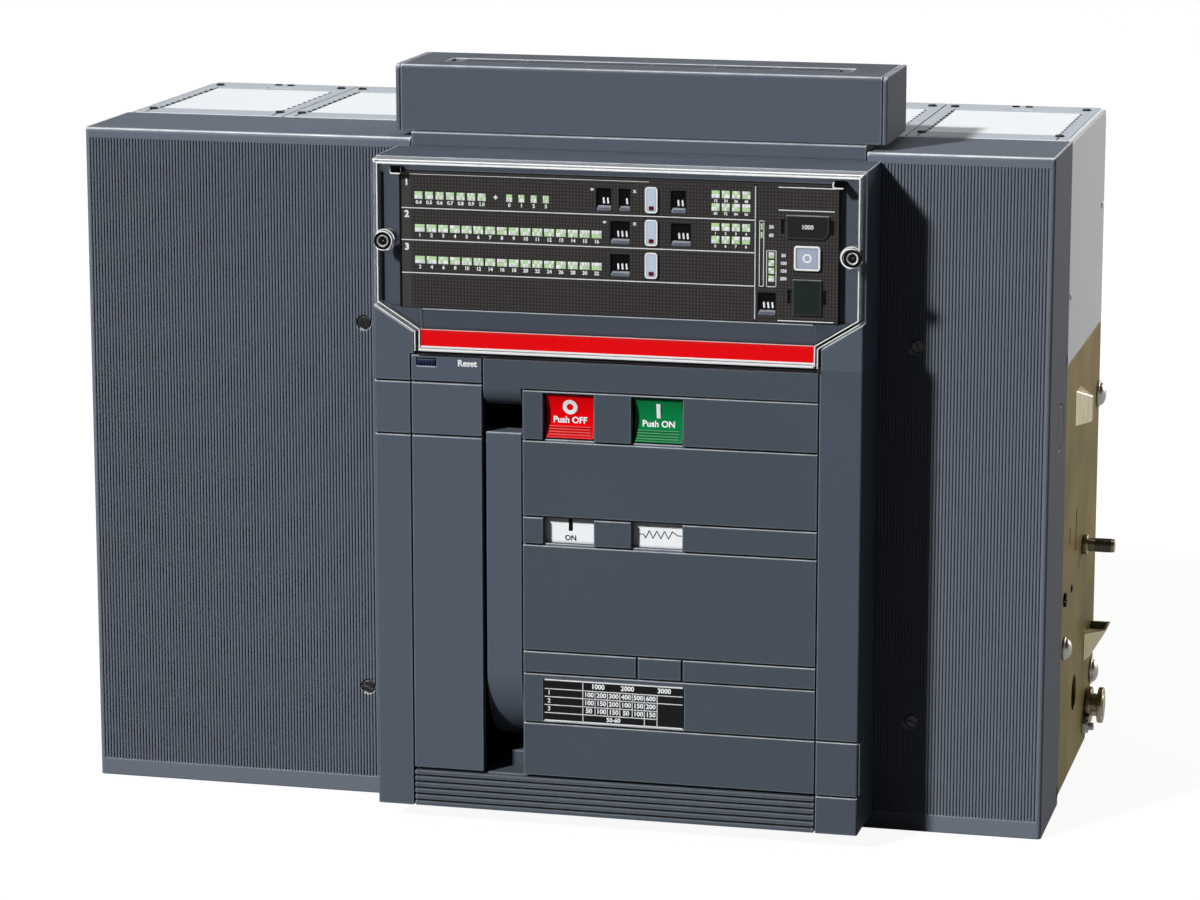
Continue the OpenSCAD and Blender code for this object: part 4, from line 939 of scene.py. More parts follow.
class BREAKER_OT_relay_print(bpy.types.Operator):
    """Print the rules, numbers and setting windows on the relay face"""

    bl_idname = "breaker.relay_print"
    bl_label = "Print relay face"

    LINE = 0.55
    # Rows of the face from the top down: height of the rule below and of the windows
    ROWS = ((56.3, 61.5), (38.2, 42.9), (19.6, 25.0))
    LEFT = 1.4
    DIVIDER = 203.6
    HEAD_X = (216.5, 247.8)

    def execute(self, context):
        tints = context.scene.breaker_colours
        lines = bmesh.new()
        windows = bmesh.new()
        self.add_rules(lines)
        self.add_scales(lines, windows)
        self.add_grids(lines, windows)
        self.add_slider(lines, windows)
        ink = moulded("print_white", tints.white, tone=0.04, rough=0.5, wear_and_highlight=0, dust=0, corner_shade=0)
        link_piece("relay_print", lines, ink)
        green = moulded("scale_green", tints.scale, tone=0.08, wear_and_highlight=0, dust=0, corner_shade=0)
        link_piece("relay_windows", windows, green)
        # Painted shade: a black strip along the left edge of the face stands in for the shadowed gap beside
        # the column.
        gap_shade = bmesh.new()
        self.field(gap_shade, 0.05, 0.1, 1.4, 76.4)
        link_piece("relay_gap_shade", gap_shade, bpy.data.materials["clip_and_gap_shade_black"])
        return {"FINISHED"}

    def spot(self, x, z):
        """Placement at a point of the face, in millimetres from its lower left corner."""
        return on_front(RELAY_LO.x + x * MM, RELAY_Y, RELAY_LO.z + z * MM)

    def field(self, bm, x0, z0, x1, z1, high=PRINT_T):
        """Flat printed rectangle on the face."""
        place = self.spot(x0, z0)
        size = ((x1 - x0) * MM, (z1 - z0) * MM)
        add_extrusion(bm, [(0, 0), (size[0], 0), size, (0, size[1])], -PRINT_T, high, place)

    def window(self, lines, windows, corner, size, code, columns=4):
        """Green window with a white cell for each switch, in the upper row when it is set."""
        x0, z0 = corner
        width, height = size
        self.field(windows, x0, z0, x0 + width, z0 + height)
        step = width / columns
        for k in range(columns):
            low = z0 + (height / 2 if code >> k & 1 else 0)
            x = x0 + k * step
            self.field(lines, x, low, x + step, low + height / 2, 1.5 * PRINT_T)

    def words(self, bm, text, x, z, size=2.8):
        """Printed words centred at a point of the face."""
        add_words(bm, text, size * MM, self.spot(x, z), bold=0.04)

    def add_rules(self, bm):
        """Rules and row numbers of the face."""
        half = self.LINE / 2
        for k, (rule, _) in enumerate(self.ROWS):
            self.field(bm, self.LEFT, rule - half, self.DIVIDER, rule + half)
            self.words(bm, str(k + 1), 4.4, rule + 14.5, 5.2)
        self.field(bm, self.DIVIDER - half, 1.2, self.DIVIDER + half, 75)
        self.field(bm, self.LEFT, 75.3, self.DIVIDER - 60, 75.6)
        for z in (75, 62.4, 1.0):
            self.field(bm, self.HEAD_X[0], z - half, self.HEAD_X[1], z + half)

    def add_scales(self, lines, windows):
        """Rows of setting windows with their numbers."""
        tops = (4.2, 4.3, 4.2)
        # Start, pitch, width and count of the windows, the number under each, and the row
        plans = ((9.1, 6.1, 4.6, 7, lambda k: f"{0.4 + 0.1 * k:.1f}", 0),
                 (62.2, 7.0, 3.4, 4, lambda k: f"{k}", 0),
                 (9.1, 6.8, 5.7, 16, lambda k: f"{k + 1}", 1),
                 (9.1, 6.8, 5.7, 16, lambda k: f"{2 * k + 2}", 2))
        for start, pitch, width, count, number, row in plans:
            z = self.ROWS[row][1]
            for k in range(count):
                x = start + k * pitch
                self.window(lines, windows, (x, z), (width, tops[row]), k)
                self.words(lines, number(k), x + width / 2, z - 1.9)
        self.words(lines, "+", 56, 63.6, 4.4)
        plug_lo, plug_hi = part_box("rating_plug")
        middle = (plug_lo + plug_hi) / 2
        add_words(lines, "1000", 3.4 * MM, on_front(middle.x, plug_lo.y, middle.z))

    def add_grids(self, lines, windows):
        """Two blocks of eight small windows at the right."""
        for row, base in enumerate((59.1, 41.0)):
            for k in range(8):
                x = 179 + (k % 4) * 5.75
                z = base + (0 if k > 3 else 7.1)
                self.window(lines, windows, (x, z + 1.6), (4.5, 4.2), k, 3)
                self.words(lines, f"{(k + 1) * (12, 1)[row]}", x + 2.2, z + 0.1, 2.1)
            self.words(lines, "x", 135.5, base + 11, 3.2)
            self.words(lines, "=", 118.4 - 7 * (1 - row), base + 11, 3.2)

    def add_slider(self, lines, windows):
        """Framed columns beside the divider."""
        for x0, x1, z0, z1 in ((205.8, 208.6, 19.5, 56.3), (209.9, 215.6, 19.5, 39.9)):
            edge = 0.45
            self.field(lines, x0, z0, x0 + edge, z1)
            self.field(lines, x1 - edge, z0, x1, z1)
            self.field(lines, x0, z0, x1, z0 + edge)
            self.field(lines, x0, z1 - edge, x1, z1)
        for k in range(4):
            self.window(lines, windows, (211.2, 22.5 + 4.3 * k), (3.2, 3.4), k, 2)
            self.words(lines, str((4, 3, 2, 1)[k] * 50), 219.5, 24.3 + 4.3 * k, 2.4)
        for k in range(2):
            self.field(windows, 206.6, 46.5 + 4.6 * k, 207.8, 50 + 4.6 * k)
            self.words(lines, str((60, 50)[k]), 212.6, 48.2 + 4.6 * k, 2.6)


class BREAKER_OT_relay_switches(bpy.types.Operator):
    """Add the small rockers and sills in the switch pockets of the relay"""

    bl_idname = "breaker.relay_switches"
    bl_label = "Add relay switches"

    # Pockets: distance from the right end, row from the top, width and number of rockers
    POCKETS = ((136.4, 0, 8.6, 2), (123.6, 0, 6.6, 1), (94.1, 0, 8.6, 2), (128.4, 1, 11.2, 3),
               (94, 1, 11.4, 3), (128.4, 2, 11.2, 3), (44.8, 3, 10.2, 3))
    ROW_Z = 58.2
    ROW_PITCH = 18.3
    DEPTH = 2.0
    HEIGHT = 13.0

    def execute(self, context):
        tints = context.scene.breaker_colours
        rockers = bmesh.new()
        sills = bmesh.new()
        liners = bmesh.new()
        for right, row, width, count in self.POCKETS:
            x = RELAY_HI.x - right * MM
            z = RELAY_LO.z + (self.ROW_Z - row * self.ROW_PITCH) * MM
            floor = RELAY_Y + self.DEPTH * MM
            add_box(liners, (x + 0.1 * MM, floor - 0.2 * MM, z + 0.1 * MM),
                    (x + width * MM - 0.1 * MM, floor - 0.02 * MM, z + (self.HEIGHT - 0.1) * MM))
            for k in range(count):
                self.add_rocker(rockers, x + (width - 2.4 * (count - k)) * MM, floor, z + 4.1 * MM)
            self.add_sill(sills, x, width * MM, floor, z)
        black = moulded("switch_black", srgb(6, 6, 7), wear_and_highlight=0, dust=0, shine=0.02)
        link_piece("switch_liners", liners, black)
        pale = moulded("rocker_white", tints.white, tone=0.05, rough=0.35, wear_and_highlight=0, dust=0)
        round_edges(link_piece("switch_rockers", rockers, pale), 0.12 * MM)
        grey = moulded("sill_grey", srgb(62, 70, 83), tone=0.08, rough=0.35, wear_and_highlight=0.4, dust=0)
        link_piece("switch_sills", sills, grey)
        return {"FINISHED"}

    def add_rocker(self, bm, x, floor, z):
        """Leaning rocker with a stepped head."""
        lean = Matrix.Rotation(math.radians(-9), 4, "Y")
        place = Matrix.Translation((x + 0.8 * MM, floor - 0.2 * MM, z)) @ lean @ FRONT
        stem = place @ Matrix.Translation((0, 1.8 * MM, 0))
        add_extrusion(bm, rounded(1.15 * MM, 3.6 * MM, 0.4 * MM, 3), 0, 1.2 * MM, stem, 0.9)
        head = place @ Matrix.Translation((0, 0.8 * MM, 0))
        add_extrusion(bm, rounded(1.3 * MM, 1.4 * MM, 0.4 * MM, 3), 0, 1.6 * MM, head, 0.85)

    def add_sill(self, bm, x, width, floor, z):
        """Sloped sill along the foot of a pocket."""
        inset = 0.4 * MM
        back = floor - 0.25 * MM
        front = RELAY_Y + 0.1 * MM
        foot = z + 0.15 * MM
        profile = [(back, z + 3.2 * MM), (front, z + 0.9 * MM), (front, foot), (back, foot)]
        ends = [[bm.verts.new((x + dx, y, zz)) for y, zz in profile] for dx in (inset, width - inset)]
        bm.faces.new(ends[0])
        bm.faces.new(ends[1][::-1])
        for k in range(4):
            bm.faces.new((ends[0][k], ends[0][(k + 1) % 4], ends[1][(k + 1) % 4], ends[1][k]))


class BREAKER_OT_relay_lamps(bpy.types.Operator):
    """Add the framed lamp windows of the relay and the ring on its test key"""

    bl_idname = "breaker.relay_lamps"
    bl_label = "Add relay lamps"

    FROM_RIGHT = 104.8 * MM
    ROW_Z = 58.2 * MM
    ROW_PITCH = 18.3 * MM
    SIZE = (7.2 * MM, 14.6 * MM)

    def execute(self, context):
        tints = context.scene.breaker_colours
        frames = bmesh.new()
        lenses = bmesh.new()
        signals = bmesh.new()
        x = RELAY_HI.x - self.FROM_RIGHT
        width, height = self.SIZE
        for k in range(3):
            z = RELAY_LO.z + self.ROW_Z - k * self.ROW_PITCH + height / 2
            place = on_front(x, RELAY_LO.y, z)
            self.add_frame(frames, place, width, height, 0.9 * MM, 1.8 * MM)
            outline = rounded(width - 1.8 * MM, height - 1.8 * MM, 0.9 * MM)
            add_extrusion(lenses, outline, 0, 0.25 * MM, place)
            spot = place @ Matrix.Translation((0, -0.31 * height, 0))
            add_extrusion(signals, rounded(3.0 * MM, 2.3 * MM, 0.5 * MM), 0, 0.5 * MM, spot, 0.9)
        test_lo, test_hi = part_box("test_key")
        middle = (test_lo + test_hi) / 2
        size = test_hi - test_lo
        self.add_frame(frames, on_front(middle.x, test_lo.y, middle.z), size.x, size.z, 1.1 * MM, 1.5 * MM)
        add_lathe(frames, [(1.5 * MM, 0), (1.5 * MM, PRINT_T), (2.6 * MM, PRINT_T), (2.6 * MM, 0)],
                  on_front(middle.x, test_lo.y, middle.z))
        white = bpy.data.materials["print_white"]
        link_piece("lamp_frames", frames, white)
        lens = moulded("lamp_lens", tints.lens, grain=0.5, tone=0.15, rough=0.18, wear_and_highlight=0, dust=0)
        link_piece("lamp_lenses", lenses, lens)
        dark_red = moulded("lamp_red", srgb(112, 14, 20), tone=0.3, rough=0.2, wear_and_highlight=0, dust=0)
        link_piece("lamp_signals", signals, dark_red)
        return {"FINISHED"}

    def add_frame(self, bm, place, width, height, edge, radius):
        """Flat ring between two rounded outlines."""
        outer = rounded(width, height, radius)
        inner = rounded(width - 2 * edge, height - 2 * edge, max(radius - edge, 0.3 * MM))
        high = 0.35 * MM
        loops = [[bm.verts.new(place @ Vector((px, py, h))) for px, py in loop]
                 for loop, h in ((outer, 0), (outer, high), (inner, high), (inner, 0))]
        count = len(outer)
        for a, b in zip(loops, loops[1:]):
            for k in range(count):
                bm.faces.new((a[k], a[(k + 1) % count], b[(k + 1) % count], b[k]))


class BREAKER_OT_captive_screws(bpy.types.Operator):
    """Add the captive screws, latch hooks and hinge rod of the clear cover"""

    bl_idname = "breaker.captive_screws"
    bl_label = "Add captive screws"

    INSET = 7 * MM
    RISE = 38 * MM
    HOOK_INSET = 14.5 * MM
    HOOK_RISE = 1.25 * MM

    def execute(self, context):
        radius = context.scene.breaker_sizes.captive_screw
        heads = bmesh.new()
        collars = bmesh.new()
        for x in (SHELL_LO.x + self.INSET, SHELL_HI.x - self.INSET):
            place = on_front(x, CLEAR_LO.y + 2.6 * MM, RELAY_LO.z + self.RISE)
            turned = place @ Matrix.Rotation(0.15, 4, "Z")
            add_slotted_head(heads, turned, 0.8 * radius, 2.0 * MM, 0.8 * MM, 1.0 * MM)
            profile = [(0.86, 0), (0.86, 2.4), (0.95, 2.7), (1.06, 2.5), (1.06, 0)]
            add_lathe(collars, [(r * radius, h * MM) for r, h in profile], place)
            # Painted glint: a pale bar in the slot of each screw.
            add_box(collars, *self.slot_mark(place, radius))
            rim = on_front(x, CLEAR_LO.y, RELAY_LO.z + self.RISE)
            washer = [(1.1, 0), (1.1, 0.2), (1.58, 0.2), (1.62, 0)]
            add_lathe(heads, [(r * radius, h * MM) for r, h in washer], rim)
        black = bpy.data.materials["screw_black"]
        link_piece("captive_screws", heads, black)
        pale = drawn_metal("collar_steel", srgb(226, 226, 224), srgb(196, 194, 188), rough=0.3, metallic=0.2)
        link_piece("captive_collars", collars, pale)
        hooks = bmesh.new()
        for x in (SHELL_LO.x + self.HOOK_INSET, SHELL_HI.x - self.HOOK_INSET):
            place = on_front(x, RECESS_Y, RELAY_HI.z + self.HOOK_RISE)
            add_extrusion(hooks, rounded(4.4 * MM, 2.0 * MM, 0.4 * MM), 0, 10.6 * MM, place)
            cap = place @ Matrix.Translation((0, 0.9 * MM, 10.5 * MM))
            add_extrusion(hooks, rounded(6.0 * MM, 3.8 * MM, 0.5 * MM), 0, 0.4 * MM, cap, 0.96)
        self.add_hinge_rod(hooks)
        link_piece("latch_hooks", hooks, bpy.data.materials["switch_black"])
        return {"FINISHED"}

    def slot_mark(self, place, radius):
        """Corners of a pale bar in the slot of a captive screw, a painted glint."""
        middle = place.translation
        half = Vector((0.6 * radius, 0, 0.25 * MM))
        return middle - half - Vector((0, 1.5 * MM, 0)), middle + half - Vector((0, 0.9 * MM, 0))

    def add_hinge_rod(self, bm):
        """Half-round rod on which the clear cover turns, along its left wall."""
        low = RELAY_LO.z - 4 * MM
        high = RELAY_HI.z - 1 * MM
        place = Matrix.Translation((CLEAR_LO.x + 3.0 * MM, RECESS_Y, 0))
        add_extrusion(bm, arc(0.9 * MM, math.pi, 2 * math.pi, 10), low, high, place)


class BREAKER_OT_strip(bpy.types.Operator):
    """Finish the red strip and add its borders and the corners of the ledge above it"""

    bl_idname = "breaker.strip"
    bl_label = "Dress red strip"

    LOW = 1.2 * MM
    HIGH = 0.4 * MM
    OVERHANG = 1.4 * MM
    LAP = 1.2 * MM
    SHOULDER = 18.2 * MM

    def execute(self, context):
        tints = context.scene.breaker_colours
        red = moulded("strip_red", tints.red, tone=0.05, rough=0.28, spread=0.08, wear_and_highlight=0.1, dust=0,
                      relief=0.01)
        finish_nodes(["red_strip"], red, context.scene.breaker_sizes.fine_edge)
        front = STRIP_LO.y
        crown = bmesh.new()
        add_box(crown, (STRIP_LO.x, front, STRIP_HI.z - 0.5 * MM),
                (STRIP_HI.x, STRIP_HI.y, STRIP_HI.z + self.OVERHANG))
        link_piece("strip_crown", crown, red)
        bm = bmesh.new()
        top = STRIP_HI.z + self.OVERHANG
        for z0, z1 in ((STRIP_LO.z, STRIP_LO.z + self.LOW), (top - self.HIGH, top)):
            add_box(bm, (STRIP_LO.x, front - PRINT_T, z0), (STRIP_HI.x, front, z1))
        foot = CLEAR_LO.z
        face = CLEAR_LO.y + 1 * MM
        add_box(bm, (STRIP_LO.x, face - PRINT_T, foot + 1.5 * MM), (STRIP_HI.x, face, foot + 2.8 * MM))
        dark = bmesh.new()
        side = 2.4 * MM
        add_box(dark, (STRIP_LO.x - side, face - PRINT_T, foot + 0.1 * MM),
                (STRIP_HI.x + side, face, foot + 1.4 * MM))
        link_piece("cover_foot_line", dark, bpy.data.materials["clip_and_gap_shade_black"])
        borders = link_piece("strip_borders", bm, bpy.data.materials["print_white"])
        round_edges(borders, 0.04 * MM, 1)
        self.add_shoulders(tints.panel)
        return {"FINISHED"}

    def add_shoulders(self, tint):
        """Corners of the ledge above the strip, out to the slanted edges of the clear cover."""
        low = STRIP_HI.z + 1.5 * MM
        high = RELAY_LO.z - 0.4 * MM
        bm = bmesh.new()
        for end, side in ((STRIP_LO.x, -1), (STRIP_HI.x, 1)):
            start = end - side * self.LAP
            spots = ((start, 3.55, low), (start, 1.35, high), (end + side * self.SHOULDER, 5.0, high))
            front = [bm.verts.new((x, SHELL_LO.y + y * MM, z)) for x, y, z in spots]
            back = [bm.verts.new((x, RECESS_Y, z)) for x, _, z in spots]
            bm.faces.new(front)
            bm.faces.new(back[::-1])
            for k in range(3):
                bm.faces.new((front[k], front[(k + 1) % 3], back[(k + 1) % 3], back[k]))
        # Painted shade: the same darker copy of the panel tint as the ledge behind the clear cover.
        painted_shade_tint = [0.8 * v for v in tint[:3]] + [1.0]
        link_piece("ledge_shoulders", bm, moulded("shoulder_slate", painted_shade_tint, wear_and_highlight=0, corner_shade=0.4))


class BREAKER_OT_keys(bpy.types.Operator):
    """Finish the keys and add their symbols, words and ridges"""

    bl_idname = "breaker.keys"
    bl_label = "Dress keys"

    def execute(self, context):
        tints = context.scene.breaker_colours
        edge = context.scene.breaker_sizes.edge
        finishes = {"off_button": tints.red, "on_button": tints.green, "reset_button": tints.blue}
        for name, tint in finishes.items():
            gloss = moulded(f"{name}_gloss", tint, grain=1.2, tone=0.08, rough=0.2, spread=0.08, wear_and_highlight=0.25,
                            dust=0.04, relief=0.01)
            finish_nodes([name], gloss, edge)
        self.add_symbol("off_mark", "off_button", "off_key", "Push OFF")
        self.add_symbol("on_mark", "on_button", "on_key", "Push ON")
        self.add_grip("off_grip", "off_button", "off_key", "signal_red")
        self.add_grip("on_grip", "on_button", "on_key", "signal_green")
        self.add_reset_word()
        return {"FINISHED"}

    def add_reset_word(self):
        """Word beside the reset key, and upright ridges on the key."""
        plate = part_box("lever_fascia")
        lo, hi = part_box("reset_button")
        bm = bmesh.new()
        place = on_front(plate[1].x - 8.2 * MM, plate[0].y, (lo.z + hi.z) / 2)
        add_words(bm, "Reset", 4.9 * MM, place, bold=0.04)
        link_piece("reset_word", bm, bpy.data.materials["print_white"])
        ridges = bmesh.new()
        for k in range(1, 6):
            place = on_front(lo.x + (hi.x - lo.x) * k / 6, lo.y, (lo.z + hi.z) / 2)
            add_extrusion(ridges, rounded(0.9 * MM, 1.9 * MM, 0.3 * MM, 3), -0.1 * MM, 0.25 * MM, place, 0.9)
        link_piece("reset_grip", ridges, bpy.data.materials["reset_button_gloss"], "reset_key")

    def add_grip(self, name, node, body, slot):
        """Ridges for the fingertip along the foot of a key."""
        lo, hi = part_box(node)
        bm = bmesh.new()
        width = hi.x - lo.x - 3 * MM
        for k in range(4):
            place = on_front((lo.x + hi.x) / 2, 0, lo.z + (1.9 + 1.5 * k) * MM)
            add_extrusion(bm, rounded(width, 0.8 * MM, 0.3 * MM, 3), -0.1 * MM, 0.35 * MM, place, 0.96)
        self.wrap(bm, lo, hi)
        link_piece(name, bm, bpy.data.materials[f"{node}_gloss"], body)

    def add_symbol(self, name, node, body, words):
        """Round or straight sign and words on a key."""
        lo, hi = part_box(node)
        middle = (lo + hi) / 2
        bm = bmesh.new()
        top = on_front(middle.x, 0, hi.z - 7.4 * MM)
        if words.endswith("OFF"):
            add_lathe(bm, [(1.9 * MM, 0), (1.9 * MM, PRINT_T), (4.3 * MM, PRINT_T), (4.3 * MM, 0)], top, 40)
        else:
            add_extrusion(bm, rounded(2.5 * MM, 8.6 * MM, 0.2 * MM, 2), 0, PRINT_T, top)
        add_words(bm, words, 5.0 * MM, on_front(middle.x, 0, lo.z + 10.1 * MM), bold=0.03)
        bmesh.ops.subdivide_edges(bm, edges=[e for e in bm.edges if e.calc_length() > 2 * MM], cuts=7)
        self.wrap(bm, lo, hi)
        link_piece(name, bm, bpy.data.materials["print_white"], body)

    def wrap(self, bm, lo, hi):
        """Lay flat print into the hollow front of a key."""
        dish = 3.0 * MM
        height = hi.z - lo.z
        middle = (lo.z + hi.z) / 2
        radius = height * height / (8 * dish) + dish / 2
        for vert in bm.verts:
            off = vert.co.z - middle
            floor = lo.y + dish - radius + math.sqrt(radius * radius - off * off)
            vert.co.y += floor - 0.05 * MM


class BREAKER_OT_flags(bpy.types.Operator):
    """Finish the white flags and add their marks"""

    bl_idname = "breaker.flags"
    bl_label = "Dress flags"

    def execute(self, context):
        tints = context.scene.breaker_colours
        white = moulded("flag_white", tints.white, tone=0.05, rough=0.4, wear_and_highlight=0, dust=0)
        finish_nodes(["contact_flag", "spring_flag"], white)
        bm = bmesh.new()
        lo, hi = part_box("contact_flag")
        x = (lo.x + hi.x) / 2
        bar = on_front(x, lo.y, hi.z - 4.6 * MM)
        add_extrusion(bm, rounded(2.3 * MM, 7.6 * MM, 0.1 * MM, 2), 0, PRINT_T, bar)
        add_words(bm, "ON", 4.2 * MM, on_front(x, lo.y, lo.z + 3.4 * MM))
        lo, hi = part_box("spring_flag")
        self.add_spring(bm, (lo.x + hi.x) / 2, lo.y, (lo.z + hi.z) / 2)
        ink = moulded("flag_ink", tints.black, tone=0.2, rough=0.5, wear_and_highlight=0, dust=0)
        link_piece("flag_marks", bm, ink)
        return {"FINISHED"}

    def add_spring(self, bm, x, y, z):
        """Plain zigzag sign of a spring."""
        pitch = 2.2 * MM
        rise = 2.2 * MM
        thick = 0.45 * MM
        line = [(-5 * pitch, 0), (-4 * pitch, 0)]
        line += [((k - 3.5) * pitch, rise * (1 if k % 2 else -1)) for k in range(8)]
        line += [(5 * pitch, 0), (6 * pitch, 0)]
        for a, b in zip(line, line[1:]):
            start = Vector(a)
            run = Vector(b) - start
            side = Vector((-run.y, run.x)).normalized() * thick / 2
            corners = [start - side, start + run - side, start + run + side, start + side]
            add_extrusion(bm, [tuple(c) for c in corners], 0, PRINT_T, on_front(x, y, z))


class BREAKER_OT_rating_plate(bpy.types.Operator):
    """Add the ruled plate with plain numbers"""

    bl_idname = "breaker.rating_plate"
    bl_label = "Add ruled plate"

    WIDTH = 82.0
    HEIGHT = 25.0
    INSET = 11.6
    BASE = 32.3
    ROWS = (0.0, 0.19, 0.385, 0.585, 0.78, 1.0)
    COLUMNS = (0.283, 0.37, 0.458, 0.546, 0.634, 0.72, 0.81)

    def execute(self, context):
        x0 = FASCIA_LO.x + self.INSET * MM
        z0 = FASCIA_LO.z + self.BASE * MM
        back = FASCIA_LO.y + 0.8 * MM
        plate = bmesh.new()
        middle = on_front(x0 + self.WIDTH / 2 * MM, back, z0 + self.HEIGHT / 2 * MM)
        outline = rounded((self.WIDTH - 0.3) * MM, (self.HEIGHT - 0.3) * MM, 0.4 * MM)
        add_extrusion(plate, outline, 0, 0.6 * MM, middle)
        dark = moulded("plate_black", srgb(28, 28, 30), tone=0.2, rough=0.4, wear_and_highlight=0, dust=0, corner_shade=0)
        link_piece("ruled_plate", plate, dark)
        print_mesh = bmesh.new()
        corner = on_front(x0, back - 0.6 * MM, z0)
        self.add_rules(print_mesh, corner)
        self.add_numbers(print_mesh, corner)
        link_piece("ruled_plate_print", print_mesh, bpy.data.materials["print_white"])
        return {"FINISHED"}

    def stroke(self, bm, corner, x0, z0, x1, z1):
        """Printed line on the plate, in millimetres."""
        points = [(x0, z0), (x1, z0), (x1, z1), (x0, z1)]
        add_extrusion(bm, [(x * MM, z * MM) for x, z in points], -PRINT_T / 2, PRINT_T, corner)

    def add_rules(self, bm, corner):
        """Lines between the rows and columns of the plate."""
        line = 0.5
        for k, share in enumerate(self.ROWS):
            z = 0.6 + share * (self.HEIGHT - 1.2)
            right = self.WIDTH - 0.8
            if k in (1, 2):
                right = self.COLUMNS[-1] * self.WIDTH
            half = 0.42 if k in (0, 5) else line / 2
            self.stroke(bm, corner, 0.8, z - half, right, z + half)
        for k, share in enumerate(self.COLUMNS):
            x = share * self.WIDTH
            low = 0.6 if k in (0, 5, 6) else 0.6 + self.ROWS[1] * (self.HEIGHT - 1.2)
            high = (1.0 if k == 0 else self.ROWS[4]) * (self.HEIGHT - 1.2) + 0.6
            self.stroke(bm, corner, x - line / 2, low, x + line / 2, high)

    def add_numbers(self, bm, corner):
        """Plain numbers in the cells of the plate."""
        def cell(k):
            return 0.6 + (self.ROWS[k] + self.ROWS[k + 1]) / 2 * (self.HEIGHT - 1.2)

        for row in (1, 2, 3):
            for k in range(6):
                x = (self.COLUMNS[k] + self.COLUMNS[k + 1]) / 2 * self.WIDTH
                number = str(100 * (k + 1)) if row == 3 else str(50 * (row + k % 3))
                place = corner @ Matrix.Translation((x * MM, cell(row) * MM, 0))
                add_words(bm, number, 3.8 * MM, place, bold=0.035)
            place = corner @ Matrix.Translation((3.4 * MM, cell(row) * MM, 0))
            add_words(bm, str(4 - row), 3.6 * MM, place)
        for k, share in enumerate((0.39, 0.6, 0.86)):
            place = corner @ Matrix.Translation((share * self.WIDTH * MM, cell(4) * MM, 0))
            add_words(bm, str(1000 * (k + 1)), 3.9 * MM, place, bold=0.035)
        place = corner @ Matrix.Translation((0.5 * self.WIDTH * MM, cell(0) * MM, 0))
        add_words(bm, "50-60", 3.5 * MM, place, bold=0.035)


class BREAKER_OT_box_strip(bpy.types.Operator):
    """Add the glossy strip in the trough of the terminal box"""

    bl_idname = "breaker.box_strip"
    bl_label = "Add terminal box strip"

    END = 22.4 * MM
    FRONT_GAP = 19 * MM
    WIDTH = 18 * MM
    DEPTH = 1.5 * MM
    NOTCH = 6.5 * MM
    SEGMENTS = 6

    def execute(self, context):
        lo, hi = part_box("terminal_box")
        bm = bmesh.new()
        x0 = lo.x + self.END + self.NOTCH
        x1 = hi.x - self.END - self.NOTCH
        step = (x1 - x0) / self.SEGMENTS
        y0 = lo.y + self.FRONT_GAP
        for k in range(self.SEGMENTS):
            place = Matrix.Translation((x0 + (k + 0.5) * step, y0 + self.WIDTH / 2, hi.z - self.DEPTH))
            outline = rounded(step - 0.8 * MM, self.WIDTH - 1.2 * MM, 1.2 * MM)
            add_extrusion(bm, outline, 0, 1.1 * MM, place, 0.985)
        gloss = moulded("strip_gloss", srgb(74, 81, 92), tone=0.1, rough=0.4, wear_and_highlight=0.4, dust=0.1,
                        relief=0.01)
        round_edges(link_piece("box_strip", bm, gloss), 0.15 * MM)
        return {"FINISHED"}


